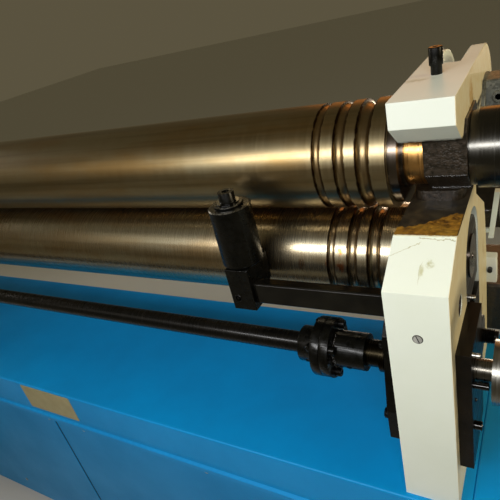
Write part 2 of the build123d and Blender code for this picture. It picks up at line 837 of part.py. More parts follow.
with BuildPart() as cone_roller:
    with BuildSketch(Plane.XY.offset(rz - cone_bottom_drop + seat_gap)):
        with Locations((cone_x, cone_y)):
            Circle(cone_r)
            Circle(cone_bore, mode=Mode.SUBTRACT)
    extrude(amount=cone_bottom_drop - cone_top_drop - seat_gap)
    chamfer(cone_roller.edges().filter_by(GeomType.CIRCLE).sort_by(SortBy.RADIUS)[-2:], edge)
save(cone_roller, "cone_roller")

with BuildPart() as cone_pin:
    with BuildSketch(Plane.XY.offset(rz - cone_bottom_drop)):
        with Locations((cone_x, cone_y)):
            Circle(cone_bore - run_fit)
    extrude(amount=cone_bottom_drop - cone_top_drop + seat_gap)
    with BuildSketch(Plane.XY.offset(rz - cone_top_drop + seat_gap)):
        with Locations((cone_x, cone_y)):
            Circle(cone_washer_r)
    extrude(amount=2 * edge)
    with BuildSketch(Plane.XY.offset(rz - cone_top_drop + seat_gap + 2 * edge)):
        with Locations((cone_x, cone_y)):
            Circle(cone_head_r)
    extrude(amount=cone_top_drop - seat_gap - 2 * edge)
    with BuildSketch(Plane.XY.offset(rz)):
        with Locations((cone_x, cone_y)):
            RegularPolygon(cone_head_r / 2, 6)
    extrude(amount=-cone_head_r / 2, mode=Mode.SUBTRACT)
save(cone_pin, "cone_pin")

# Drive cabinet on the left pedestal and its end cover
cabinet_top = rz + drive_head + 6 * cheek_inset
with BuildPart() as drive_cabinet:
    with BuildSketch(Plane.XY.offset(deck_z)):
        with Locations((-xo - drive_bay / 2, (base_rear - base_front) / 2)):
            Rectangle(drive_bay, base_front + base_rear)
    extrude(amount=cabinet_top - deck_z)
    fillet(drive_cabinet.edges().group_by(Axis.Z)[-1], 4 * sheet_edge)
    fillet(drive_cabinet.edges().filter_by(Axis.Z), sheet_edge)
save(drive_cabinet, "drive_cabinet")

with BuildPart() as drive_cover:
    with BuildSketch(side_plane(-xo - drive_bay)):
        with Locations(((base_rear - base_front) / 2, (cabinet_top + deck_z) / 2)):
            RectangleRounded(base_front + base_rear - cover_inset, cabinet_top - deck_z - cover_inset, 5 * sheet_edge)
    extrude(amount=-sheet_edge)
save(drive_cover, "drive_cover")

# Small white box with its plunger, and the leaning stop bar, behind the drop end housing
with BuildPart() as switch_box:
    with BuildSketch(Plane.XY.offset(rz - switch_drop - switch_h / 2)):
        with Locations((xo - guide_inset, side_rear)):
            Rectangle(guide_inset + switch_out, switch_deep, align=Align.MIN)
    extrude(amount=switch_h)
    fillet(switch_box.edges().group_by(Axis.X)[-1], edge)
save(switch_box, "switch_box")

with BuildPart() as plunger:
    with BuildSketch(Plane.XZ.offset(-side_rear)):
        with Locations((xo + plunger_out, rz - plunger_drop)):
            Circle(plunger_r)
    extrude(amount=2 * plunger_r)
save(plunger, "switch_plunger")

with BuildPart() as stop_bar:
    with BuildSketch(Plane.XZ.offset(-side_rear - stop_gap - stop_t)):
        with BuildLine():
            Polyline(
                (xo + stop_foot, rz - stop_bottom_drop), (xo + stop_foot + stop_w, rz - stop_bottom_drop),
                (xo + stop_head + stop_w, rz - stop_top_drop), (xo + stop_head, rz - stop_top_drop),
                close=True,
            )
        make_face()
    extrude(amount=stop_t)
    with BuildSketch(side_plane(xo - guide_inset)):
        with Locations((side_rear + stop_gap + stop_t / 2, rz - stop_pin_drop)):
            Circle(stop_pin_r)
    extrude(amount=guide_inset + stop_foot + stop_w)
save(stop_bar, "stop_bar")
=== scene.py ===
import math
import bmesh
import bpy
from mathutils import Matrix, Vector, noise


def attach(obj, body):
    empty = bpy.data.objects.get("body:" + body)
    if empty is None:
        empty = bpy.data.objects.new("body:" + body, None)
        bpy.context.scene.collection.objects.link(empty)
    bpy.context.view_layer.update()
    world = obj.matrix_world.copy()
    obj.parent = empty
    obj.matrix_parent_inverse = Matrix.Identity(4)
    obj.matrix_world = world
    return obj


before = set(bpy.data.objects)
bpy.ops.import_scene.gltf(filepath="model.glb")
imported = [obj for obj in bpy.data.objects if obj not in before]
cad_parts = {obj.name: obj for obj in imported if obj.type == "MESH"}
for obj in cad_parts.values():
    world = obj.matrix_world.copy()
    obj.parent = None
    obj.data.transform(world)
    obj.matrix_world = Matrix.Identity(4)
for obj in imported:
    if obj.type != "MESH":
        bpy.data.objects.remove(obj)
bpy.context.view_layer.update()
noise.seed_set(3)       # without a seed, noise_vector starts from the clock

# Sizes shared with the CAD, in metres. X runs along the rolls with the drop end at +X, Y points to the
# back and Z is up
MM = 0.001
INNER = 0.710           # inner faces of the housings
OUTER = 0.768           # outer faces
MID = 0.739             # middle of a housing
GUIDE_OUT = 0.752       # outer faces of the bending roll's guides
CASE_OUT = 0.786        # outer face of the gear case on the drop end guide
PLATE_OUT = 0.782       # outer face of the stub shaft's bearing plate
CARRIAGE_OUT = 0.782    # outer face of the bending roll's drop end carriage
AXIS = 0.950            # top roll axis above the floor
BACK_Y, BACK_Z = 0.190, 0.800           # bending roll axis
SHAFT_Y, SHAFT_Z = -0.1176, 0.7624      # adjusting shaft axis
WORM_Y, WORM_Z = -0.050, 0.750          # worm shaft of the jack box
ROLLER_X, ROLLER_Y = 0.525, -0.095      # guide roller of the cone attachment
HOUSING_TOP = 0.9025
HOUSING_FRONT = -0.156
SCREW_X, SCREW_Z = 0.7388, 0.8231       # slotted screw in a housing's front face
DECK = 0.588            # top of the deck
DECK_FRONT, DECK_REAR = -0.163, 0.157
PANEL_FRONT, PANEL_REAR = -0.131, 0.125
PEDESTAL_OUT = 0.8845   # outer face of the drop end pedestal
CABINET_X = -0.933      # middle of the drive cabinet
CABINET_END = -1.098
CABINET_TOP = 1.040
WHEEL_OUT = 0.8335      # outer end of the handwheel's hub
FLANGE_BACK, FLANGE_FRONT = 0.61695, 0.63845
GROOVES = ((673.1, 7.25), (647.9, 5.75), (622.7, 4.5))     # wire grooves: centre and half width, in mm


def linear(code):
    """sRGB hex to the linear colour that a socket takes."""
    parts = [int(code[i:i + 2], 16) / 255 for i in (1, 3, 5)]
    return tuple(c / 12.92 if c <= 0.04045 else ((c + 0.055) / 1.055) ** 2.4 for c in parts) + (1.0,)


def add_node(material, kind, inputs=(), out=0, **settings):
    """Adds a shader node with its settings and links, and gives back one of its outputs.
    Its inputs are values, hex colours or other nodes' outputs, in order or by name."""
    made = material.node_tree.nodes.new("ShaderNode" + kind)
    for name, value in settings.items():
        setattr(made, name, value)
    for name, value in (inputs.items() if isinstance(inputs, dict) else enumerate(inputs)):
        if isinstance(value, bpy.types.NodeSocket):
            material.node_tree.links.new(value, made.inputs[name])
        else:
            made.inputs[name].default_value = linear(value) if isinstance(value, str) else value
    return made.outputs[out]


def new_material(name, **surface):
    """A material whose shader has these fixed values, and its Object coordinates."""
    material = bpy.data.materials.new(name)
    material.use_nodes = True
    shader = material.node_tree.nodes["Principled BSDF"]
    for socket, value in surface.items():
        value = linear(value) if isinstance(value, str) else value
        shader.inputs[socket.replace("_", " ")].default_value = value
    return material, shader, add_node(material, "TexCoord", out="Object")


def finish_with(material, shader, colour, roughness, height, depth):
    """Links colour, roughness and a bump to the shader; depth is the bump's real depth in millimetres."""
    links = material.node_tree.links
    if colour:
        links.new(colour, shader.inputs["Base Color"])
    links.new(roughness, shader.inputs["Roughness"])
    normal = add_node(material, "Bump", {"Height": height, "Distance": depth * MM, "Strength": 1.0})
    links.new(normal, shader.inputs["Normal"])
    return material


def every(*sizes):
    """Texture scale that puts features this many millimetres apart, one size or one for each axis."""
    scale = tuple(1 / (size * MM) for size in sizes)
    return scale if len(scale) > 1 else scale[0]


def blot(material, place, centre, reach):
    """1 at a centre, falling to 0 at this reach from it along each axis, in millimetres."""
    away = add_node(material, "VectorMath", (place, Vector(centre) * MM), operation="SUBTRACT")
    away = add_node(material, "VectorMath", (away, every(*reach)), operation="MULTIPLY")
    away = add_node(material, "VectorMath", (away,), "Value", operation="LENGTH")
    return add_node(material, "MapRange", (away, 1.0, 0.0, 0.0, 1.0))


def smudged(material, place, colour, patchy, spots, thin, thick, cover):
    """Lays spots over a colour, each with its centre, reach and tone. A patchy mask breaks them up:
    they start where it is thin and reach their full cover where it is thick."""
    for centre, reach, tone in spots:
        mask = add_node(material, "Math", (blot(material, place, centre, reach), patchy), operation="MULTIPLY")
        mask = add_node(material, "MapRange", (mask, thin, thick, 0.0, cover))
        colour = add_node(material, "Mix", {0: mask, 6: colour, 7: tone}, 2, data_type="RGBA")
    return colour


def streaks(material, place, sizes, detail, roughness=0.5):
    """Noise whose marks have these sizes along X, Y and Z, in millimetres."""
    spread = add_node(material, "Mapping", {"Vector": place, "Scale": every(*sizes)})
    return add_node(
        material, "TexNoise", {"Vector": spread, "Scale": 1.0, "Detail": detail, "Roughness": roughness})


# Ground roll steel: forged steel, ground between centres and oiled. The wheel leaves fine marks round
# the roll, so highlights break into thin lines across its length, and the oil lies as a warm film
def ground_steel(name, shoulder, tones, smooth, coarse, stains=()):
    material, shader, place = new_material(name, Metallic=1.0)
    dull, clean, oil, runs = tones
    # grinding marks 0.4 mm apart, drawn 1.2 mm apart so that they show, and the broader passes of the wheel
    marks = streaks(material, place, (1.2, 400, 400), 4.0, 0.7)
    passes = streaks(material, place, (14, 300, 300), 2.0)
    steel = add_node(material, "Mix", {0: passes, 6: dull, 7: clean}, 2, data_type="RGBA")
    # a film of oil in patches, and longer runs of it along the roll
    film = streaks(material, place, (160, 45, 45), 5.0, 0.6)
    film = add_node(material, "MapRange", (film, 0.42, 0.66, 0.0, 0.8))
    steel = add_node(material, "Mix", {0: film, 6: steel, 7: oil}, 2, data_type="RGBA")
    run = streaks(material, place, (420, 9, 9), 3.0)
    run = add_node(material, "MapRange", (run, 0.45, 0.7, 0.0, 0.75))
    steel = add_node(material, "Mix", {0: run, 6: steel, 7: runs}, 2, data_type="RGBA")
    if stains:
        ragged = add_node(
            material, "TexNoise", {"Vector": place, "Scale": every(7), "Detail": 6.0, "Roughness": 0.7})
        ragged = add_node(material, "MapRange", (ragged, 0.38, 0.56, 0.0, 1.0))
        steel = smudged(material, place, steel, ragged, stains, 0.05, 0.5, 0.85)
    # brown oil stands against the sides of the wire grooves, and a little in them
    along = add_node(material, "SeparateXYZ", (place,))
    wander = add_node(material, "TexNoise", {"Vector": place, "Scale": every(9), "Detail": 3.0})
    wander = add_node(material, "MapRange", (wander, 0.3, 0.7, -0.5 * MM, 0.7 * MM))
    for centre, half in GROOVES:
        away = add_node(material, "Math", (along, centre * MM), operation="SUBTRACT")
        away = add_node(material, "Math", (away,), operation="ABSOLUTE")
        inside = add_node(material, "MapRange", (away, (half + 0.2) * MM, (half - 0.8) * MM, 0.0, 0.45))
        steel = add_node(material, "Mix", {0: inside, 6: steel, 7: "#7a5f3c"}, 2, data_type="RGBA")
        rim = add_node(material, "Math", (away, half * MM), operation="SUBTRACT")
        rim = add_node(material, "Math", (rim,), operation="ABSOLUTE")
        rim = add_node(material, "Math", (rim, wander), operation="ADD")
        rim = add_node(material, "MapRange", (rim, 1.2 * MM, 0.3 * MM, 0.0, 0.95))
        steel = add_node(material, "Mix", {0: rim, 6: steel, 7: "#2f1b0a"}, 2, data_type="RGBA")
    # past the shoulder the steel is darker, with oil that the plates never wipe off
    past = add_node(material, "Math", (along,), operation="ABSOLUTE")
    dark = add_node(material, "MapRange", (past, (shoulder - 0.4) * MM, (shoulder + 0.4) * MM, 0.0, 1.0))
    colour = add_node(material, "Mix", {0: dark, 6: steel, 7: "#6a6056"}, 2, data_type="RGBA")
    rough = add_node(material, "MapRange", (marks, 0.3, 0.7, smooth, coarse))
    shine = add_node(material, "MapRange", (dark, 0.0, 1.0, 0.0, 0.1))
    rough = add_node(material, "Math", (rough, shine), operation="SUBTRACT")
    return finish_with(material, shader, colour, rough, marks, 0.003)


# Enamel: sprayed and left to level, so it is smooth with a faint orange peel a few millimetres across,
# and slightly cloudy where dust and hands have dulled it
def enamel(name, clean, dull, grime, gloss, worn_above, marks=None, **surface):
    material, shader, place = new_material(name, **{"Coat_Weight": 0.08, "Coat_Roughness": 0.2, **surface})
    peel = add_node(material, "TexNoise", {"Vector": place, "Scale": every(4), "Detail": 1.0})
    cloud = add_node(
        material, "TexNoise", {"Vector": place, "Scale": every(220), "Detail": 5.0, "Roughness": 0.6})
    fade = add_node(material, "MapRange", (cloud, 0.35, 0.68, 0.0, 1.0))
    colour = add_node(material, "Mix", {0: fade, 6: clean, 7: dull}, 2, data_type="RGBA")
    specks = add_node(
        material, "TexNoise", {"Vector": place, "Scale": every(26), "Detail": 8.0, "Roughness": 0.72})
    specks = add_node(material, "MapRange", (specks, worn_above, worn_above + 0.14, 0.0, 0.6))
    colour = add_node(material, "Mix", {0: specks, 6: colour, 7: grime}, 2, data_type="RGBA")
    rough = add_node(material, "MapRange", (cloud, 0.3, 0.7, gloss, gloss + 0.14))
    if marks:
        colour, rough = marks(material, place, colour, rough)
    return finish_with(material, shader, colour, rough, peel, 0.03)


def hair_crack(material, place, slope, level, x_from, x_to, width):
    """Mask of a crack over the housing's bevel, along y = level + slope * (x - x_from), in millimetres."""
    ragged = add_node(
        material, "TexNoise", {"Vector": place, "Scale": every(9), "Detail": 5.0, "Roughness": 0.65})
    ragged = add_node(material, "MapRange", (ragged, 0.3, 0.7, -1.9 * MM, 1.9 * MM))
    x, y = (add_node(material, "SeparateXYZ", (place,), axis) for axis in "XY")
    line = add_node(material, "Math", (x, slope, (level - slope * x_from) * MM), operation="MULTIPLY_ADD")
    miss = add_node(material, "Math", (y, line), operation="SUBTRACT")
    miss = add_node(material, "Math", (miss, ragged), operation="ADD")
    miss = add_node(material, "Math", (miss,), operation="ABSOLUTE")
    miss = add_node(material, "MapRange", (miss, width * MM, 0.1 * MM, 0.0, 1.0))
    start = add_node(material, "MapRange", (x, (x_from - 1) * MM, (x_from + 1) * MM, 0.0, 1.0))
    end = add_node(material, "MapRange", (x, (x_to + 1) * MM, (x_to - 1) * MM, 0.0, 1.0))
    span = add_node(material, "Math", (start, end), operation="MULTIPLY")
    return add_node(material, "Math", (span, miss), operation="MULTIPLY")


def painted_warm_outer_face(material, x, cloud, colour):
    """Painted warm light: a straw-brown tint over the outer face, standing in for the warm light that falls on
    that side.
    """
    outer = add_node(material, "MapRange", (x, OUTER - 0.8 * MM, OUTER - 0.2 * MM, 0.0, 1.0))
    film = add_node(material, "MapRange", (cloud, 0.3, 0.7, 0.45, 0.75))
    film = add_node(material, "Math", (outer, film), operation="MULTIPLY")
    return add_node(material, "Mix", {0: film, 6: colour, 7: "#cdb67a"}, 2, data_type="RGBA")


def housing_stains_and_painted_light(material, place, colour, rough):
    """Black grease over the top face, hair cracks and smudges on the bevel, brown oil stains on the outer face,
    painted warm light over the outer face, and painted shade in the clamp screw's hole.
    """
    x, y, z = (add_node(material, "SeparateXYZ", (place,), axis) for axis in "XYZ")
    grease = add_node(
        material, "TexNoise", {"Vector": place, "Scale": every(16), "Detail": 6.0, "Roughness": 0.65})
    # one crack climbs from the left edge and another runs level from where it ends
    for slope, level, start, end, width, tone in (
            (0.53, -122.0, 711, 737, 0.5, "#b9b78f"), (0.02, -105.0, 735, 767, 0.7, "#a49d74")):
        crack = hair_crack(material, place, slope, level, start, end, width)
        colour = add_node(material, "Mix", {0: crack, 6: colour, 7: tone}, 2, data_type="RGBA")
    # and a fine one hangs down the bevel from the level one
    wander = add_node(material, "MapRange", (grease, 0.3, 0.7, -1.6 * MM, 1.6 * MM))
    hang = add_node(material, "Math", (x, -740.5 * MM), operation="ADD")
    hang = add_node(material, "Math", (hang, wander), operation="ADD")
    hang = add_node(material, "Math", (hang,), operation="ABSOLUTE")
    hang = add_node(material, "MapRange", (hang, 0.35 * MM, 0.05 * MM, 0.0, 0.8))
    span = blot(material, place, (741, -136, 884), (12, 13, 14))
    span = add_node(material, "MapRange", (span, 0.0, 0.3, 0.0, 1.0))
    hang = add_node(material, "Math", (hang, span), operation="MULTIPLY")
    colour = add_node(material, "Mix", {0: hang, 6: colour, 7: "#b3b08a"}, 2, data_type="RGBA")
    patchy = add_node(material, "MapRange", (grease, 0.42, 0.56, 0.0, 0.9))
    colour = smudged(material, place, colour, patchy, (
        ((748, -127, 889), (6, 8, 6), "#a9a76c"), ((742, -134, 885), (3, 12, 8), "#bcbb8f"),
        ((722, -131, 887), (2, 2.5, 2), "#a8a276"), ((768, -44, 902), (2, 16, 7), "#6d6440"),
        ((768, 80, 700), (3, 14, 16), "#6b3a1c"), ((768, 40, 735), (3, 12, 14), "#7a4a26"),
        ((768, 92, 774), (3, 8, 30), "#7d5a30")), 0.05, 0.55, 0.85)
    # painted warm light: the outer face is tinted straw-brown where the warm side light falls
    colour = painted_warm_outer_face(material, x, grease, colour)
    # painted shade: the walls of the clamp screw's countersunk hole are painted near-black brown, and matt
    hole = blot(material, place, (750, -99, 824), (17.9, 40, 40))
    hole = add_node(material, "MapRange", (hole, 0.0, 0.02, 0.0, 1.0))
    colour = add_node(material, "Mix", {0: hole, 6: colour, 7: "#221008"}, 2, data_type="RGBA")
    rough = add_node(material, "Mix", {0: hole, 2: rough, 3: 0.8})
    # the top face is wet with grease from behind the filler's front edge
    on_top = add_node(
        material, "MapRange", (z, HOUSING_TOP - 0.7 * MM, HOUSING_TOP - 0.3 * MM, 0.0, 1.0))
    behind = add_node(material, "MapRange", (y, -99.0 * MM, -97.5 * MM, 0.0, 1.0))
    on_top = add_node(material, "Math", (on_top, behind), operation="MULTIPLY")
    tone = add_node(material, "MapRange", (grease, 0.36, 0.66, 0.0, 1.0))
    tone = add_node(material, "Mix", {0: tone, 6: "#110e08", 7: "#372f1f"}, 2, data_type="RGBA")
    colour = add_node(material, "Mix", {0: on_top, 6: colour, 7: tone}, 2, data_type="RGBA")
    rough = add_node(material, "Mix", {0: on_top, 2: rough, 3: 0.5})
    return colour, rough


def yoke_stains_and_painted_light(material, place, colour, rough):
    """Burnt oil beside the bearing on the outer face with a grey-green painted shadow beside it, painted warm
    light over the outer face, painted shade below the lip, and the stud's shadow painted grey-green on top.
    """
    grease = add_node(
        material, "TexNoise", {"Vector": place, "Scale": every(9), "Detail": 6.0, "Roughness": 0.65})
    thick = add_node(material, "MapRange", (grease, 0.34, 0.54, 0.0, 1.0))
    # burnt oil, orange above and dark brown below, and a grey-green spot in front of it that is painted shadow
    colour = smudged(material, place, colour, thick, (
        ((768, 11, 998), (3, 19, 22), "#a87434"), ((768, 20, 985), (3, 19, 16), "#4f2d12"),
        ((768, -2, 988), (3, 14, 12), "#7d7a5a")), 0.03, 0.4, 0.95)
    x, z = (add_node(material, "SeparateXYZ", (place,), axis) for axis in "XZ")
    # painted warm light: the outer face is tinted straw-brown where the warm side light falls
    colour = painted_warm_outer_face(material, x, grease, colour)
    # painted shade: near black in patches below the lip's edge, where the gap over the block lies in shade
    lip = add_node(material, "MapRange", (z, 981.4 * MM, 978.6 * MM, 0.0, 1.0))
    lip = add_node(material, "Math", (lip, thick), operation="MULTIPLY")
    colour = add_node(material, "Mix", {0: lip, 6: colour, 7: "#15100a"}, 2, data_type="RGBA")
    # painted shadow: the stud's shadow, laid grey-green across the top of the yoke
    colour = smudged(
        material, place, colour, thick, (((722, -8, 1025), (24, 12, 3), "#98a184"),), 0.1, 0.8, 0.6)
    return colour, rough


# Blackened steel: hot oxide over machined steel, oiled, near black, with soft streaks of sheen that
# follow the cutting marks
def blackened(name, dark, pale, lines, low, high, **surface):
    material, shader, place = new_material(name, **{
        "Metallic": 0.4, "Coat_Weight": 0.12, "Coat_Roughness": 0.1, "Specular_IOR_Level": 0.25, **surface})
    cut = streaks(material, place, lines, 4.0)
    patch = add_node(
        material, "TexNoise", {"Vector": place, "Scale": every(30), "Detail": 6.0, "Roughness": 0.65})
    patch = add_node(material, "MapRange", (patch, 0.4, 0.7, 0.0, 1.0))
    colour = add_node(material, "Mix", {0: patch, 6: dark, 7: pale}, 2, data_type="RGBA")
    rough = add_node(material, "MapRange", (cut, 0.3, 0.7, low, high))
    return finish_with(material, shader, colour, rough, cut, 0.02)


# Greasy casting: sand-cast steel left black, pitted 1 to 2 mm across, wet with dirty grease that
# catches the light in points
def greasy_casting():
    material, shader, place = new_material(
        "greasy_cast_steel", Metallic=0.2, Coat_Weight=0.6, Coat_Roughness=0.12)
    pits = add_node(material, "TexVoronoi", {"Vector": place, "Scale": every(2.2), "Randomness": 1.0})
    skin = add_node(material, "TexNoise", {"Vector": place, "Scale": every(5), "Detail": 6.0, "Roughness": 0.7})
    broad = add_node(material, "TexNoise", {"Vector": place, "Scale": every(24), "Detail": 3.0})
    broad = add_node(material, "MapRange", (broad, 0.4, 0.62, 0.15, 1.0))
    height = add_node(material, "Math", (pits, broad), operation="MULTIPLY")
    height = add_node(material, "Math", (height, skin), operation="ADD")
    tone = add_node(material, "MapRange", (skin, 0.35, 0.7, 0.0, 1.0))
    colour = add_node(material, "Mix", {0: tone, 6: "#141008", 7: "#35291a"}, 2, data_type="RGBA")
    rough = add_node(material, "MapRange", (skin, 0.3, 0.7, 0.25, 0.6))
    return finish_with(material, shader, colour, rough, height, 0.5)


# Bearing bronze: turned, then worn bright by the journal, golden with browner rings
def bearing_bronze():
    material, shader, place = new_material("turned_bearing_bronze", Metallic=1.0)
    turned = streaks(material, place, (1.6, 300, 300), 3.0)
    stain = add_node(material, "TexNoise", {"Vector": place, "Scale": every(14), "Detail": 4.0})
    stain = add_node(material, "MapRange", (stain, 0.38, 0.68, 0.0, 1.0))
    colour = add_node(material, "Mix", {0: stain, 6: "#d8a662", 7: "#a2713a"}, 2, data_type="RGBA")
    rough = add_node(material, "MapRange", (turned, 0.3, 0.7, 0.22, 0.38))
    return finish_with(material, shader, colour, rough, turned, 0.012)


# Turned steel: lathe finish with fine rings, which draw a highlight out into a band along the piece.
# A shaft that goes into a bearing is black with oil there
def turned_steel(name, dark, pale, black_inside=False):
    material, shader, place = new_material(name, Metallic=1.0)
    turned = streaks(material, place, (0.9, 300, 300), 3.0)
    colour = add_node(material, "Mix", {0: turned, 6: dark, 7: pale}, 2, data_type="RGBA")
    if black_inside:
        along = add_node(material, "SeparateXYZ", (place,))
        inside = add_node(material, "MapRange", (along, OUTER + 5 * MM, OUTER, 0.0, 1.0))
        colour = add_node(material, "Mix", {0: inside, 6: colour, 7: "#1c1810"}, 2, data_type="RGBA")
    rough = add_node(material, "MapRange", (turned, 0.3, 0.7, 0.22, 0.38))
    return finish_with(material, shader, colour, rough, turned, 0.012)


# Zinc plate over cast steel: dull grey with crystals 3 mm across
def zinc_plate():
    material, shader, place = new_material("dull_zinc_plate", Metallic=0.6)
    crystal = add_node(material, "TexVoronoi", {"Vector": place, "Scale": every(3)}, "Color")
    tone = add_node(material, "SeparateColor", (crystal,))
    skin = add_node(material, "TexNoise", {"Vector": place, "Scale": every(2), "Detail": 5.0})
    colour = add_node(material, "Mix", {0: tone, 6: "#5e6058", 7: "#86887e"}, 2, data_type="RGBA")
    rough = add_node(material, "MapRange", (skin, 0.3, 0.7, 0.38, 0.62))
    return finish_with(material, shader, colour, rough, skin, 0.15)


# Moulded plastic: even and smooth, with a grain too fine to see beyond a slight softness
def moulded(name, code, gloss):
    material, shader, place = new_material(name, IOR=1.49, Base_Color=code)
    grain = add_node(material, "TexNoise", {"Vector": place, "Scale": every(1.5), "Detail": 2.0})
    rough = add_node(material, "MapRange", (grain, 0.3, 0.7, gloss, gloss + 0.1))
    return finish_with(material, shader, None, rough, grain, 0.02)


# Filler: ochre polyester putty knifed on and left rough, soaked with oil in places
def body_filler():
    material, shader, place = new_material("ochre_body_filler")
    lumps = add_node(
        material, "TexNoise", {"Vector": place, "Scale": every(6), "Detail": 7.0, "Roughness": 0.7})
    broad = add_node(material, "TexNoise", {"Vector": place, "Scale": every(22), "Detail": 3.0})
    tone = add_node(material, "MapRange", (lumps, 0.36, 0.62, 0.0, 1.0))
    colour = add_node(material, "Mix", {0: tone, 6: "#402607", 7: "#966914"}, 2, data_type="RGBA")
    pale = add_node(material, "MapRange", (broad, 0.45, 0.7, 0.0, 0.6))
    colour = add_node(material, "Mix", {0: pale, 6: colour, 7: "#9c7722"}, 2, data_type="RGBA")
    rough = add_node(material, "MapRange", (lumps, 0.3, 0.7, 0.35, 0.75))
    return finish_with(material, shader, colour, rough, lumps, 0.8)


# Label plate: thin printed foil left bare, pale straw, slightly cloudy
def bare_foil():
    material, shader, place = new_material("bare_straw_foil", Coat_Weight=0.1, Coat_Roughness=0.2)
    cloud = add_node(material, "TexNoise", {"Vector": place, "Scale": every(22), "Detail": 5.0})
    colour = add_node(material, "Mix", {0: cloud, 6: "#a99e74", 7: "#8e8460"}, 2, data_type="RGBA")
    rough = add_node(material, "MapRange", (cloud, 0.3, 0.7, 0.4, 0.55))
    return finish_with(material, shader, colour, rough, cloud, 0.05)


# Gasket rubber and dirt in the joints between panels: matt, near black
def joint_rubber():
    material, shader, place = new_material("dull_black_rubber", IOR=1.52)
    dust = add_node(material, "TexNoise", {"Vector": place, "Scale": every(12), "Detail": 5.0})
    colour = add_node(material, "Mix", {0: dust, 6: "#0b0d0e", 7: "#1e2324"}, 2, data_type="RGBA")
    rough = add_node(material, "MapRange", (dust, 0.3, 0.7, 0.6, 0.85))
    return finish_with(material, shader, colour, rough, dust, 0.05)


RUST = "#9a4f1e"
top_steel = ground_steel(
    "ground_oiled_top_roll_steel", 696.7, ("#938563", "#9d9071", "#947748", "#766646"), 0.28, 0.37)
# the lower roll is paler and smoother, with rust and old oil beside the bar that stands against it
roll_steel = ground_steel(
    "ground_oiled_roll_steel", 706.0, ("#a89f86", "#b2aa92", "#a0845a", "#83745a"), 0.23, 0.31, (
        ((634, -64, 838), (7, 8, 11), RUST), ((634, -58, 855), (4, 6, 9), "#b8762a"),
        ((585, -64, 838), (6, 8, 10), "#7d5734"), ((618, -62, 842), (4, 6, 7), RUST)))

CREAM = ("#e7eddf", "#dfe5d2", "#98967a")
cream = enamel("cream_machine_enamel", *CREAM, 0.38, 0.68)
cream_housing = enamel("cream_enamel_greased_cracked_and_painted_light", *CREAM, 0.38, 0.68, housing_stains_and_painted_light)
cream_yoke = enamel("cream_enamel_oil_stained_and_painted_light", *CREAM, 0.38, 0.68, yoke_stains_and_painted_light)
blue = enamel(
    "blue_machine_enamel", "#0390d4", "#0484c4", "#0a5680", 0.38, 0.72,
    Specular_IOR_Level=0.22, Coat_Weight=0.02)
# enamel broken off in flakes, which shows its pale edge
chipped = enamel("chipped_cream_edge", "#f0f0d8", "#e0dcb0", "#a89a60", 0.4, 0.6)

black_shaft = blackened("oiled_black_shafting", "#080807", "#12100d", (2, 300, 300), 0.2, 0.36)
black_part = blackened("oiled_black_oxide", "#070705", "#12110d", (6, 6, 6), 0.2, 0.4)
# the collar has no oxide: it is dark polished steel, grey where the lamp meets it and black elsewhere
black_polish = blackened(
    "dark_polished_collar_steel", "#4a4945", "#54524c", (1.5, 200, 200), 0.2, 0.28,
    Metallic=1.0, Coat_Weight=0.15)
# drawn bar, wet with oil, with lines along it
black_bar = blackened("oiled_black_bar_steel", "#0b0a08", "#1b1913", (200, 4, 2.5), 0.12, 0.3, Coat_Weight=0.4)
# plate left with its brown rolling skin, duller than the oxide
brown_plate = blackened("oiled_brown_mill_scale", "#0f0c08", "#1f1810", (3, 40, 3), 0.26, 0.5)
# small screws: browned and dull, wet with oil, or scuffed bright by a screwdriver
dark_screw = blackened("browned_screw_steel", "#241d19", "#3a302a", (2, 2, 2), 0.3, 0.5, Metallic=0.8)
black_wet = blackened(
    "wet_black_screw_steel", "#0e0d0b", "#1d1a15", (2, 2, 2), 0.12, 0.24, Metallic=0.9, Coat_Weight=0.8)
scuffed = blackened("scuffed_bright_screw", "#b4b3ab", "#d8d7cf", (2, 2, 2), 0.4, 0.6, Metallic=0.5)
# grease is no metal: black and wet, so each lump carries one sharp point of light
grease_wet = blackened(
    "wet_black_grease", "#0d0b08", "#1c1812", (3, 3, 3), 0.06, 0.16, Metallic=0.0, Coat_Weight=1.0)

bright = turned_steel("bright_turned_steel", "#a5a29a", "#c4c1b8")
stub_steel = turned_steel("oily_turned_stub_steel", "#57534a", "#76726a", black_inside=True)
wheel_steel = turned_steel("satin_wheel_steel", "#7f7c75", "#9a978e")
# edges where the plates have rubbed the oxide through to the steel
rubbed = turned_steel("rubbed_bright_edge", "#6f6d66", "#8a877f")

casting = greasy_casting()
bronze = bearing_bronze()
zinc = zinc_plate()
rubber = joint_rubber()
black_knob = moulded("black_phenolic_moulding", "#0c0c0d", 0.18)
white_shell = moulded("white_abs_moulding", "#dfe2d6", 0.35)
filler = body_filler()
foil = bare_foil()

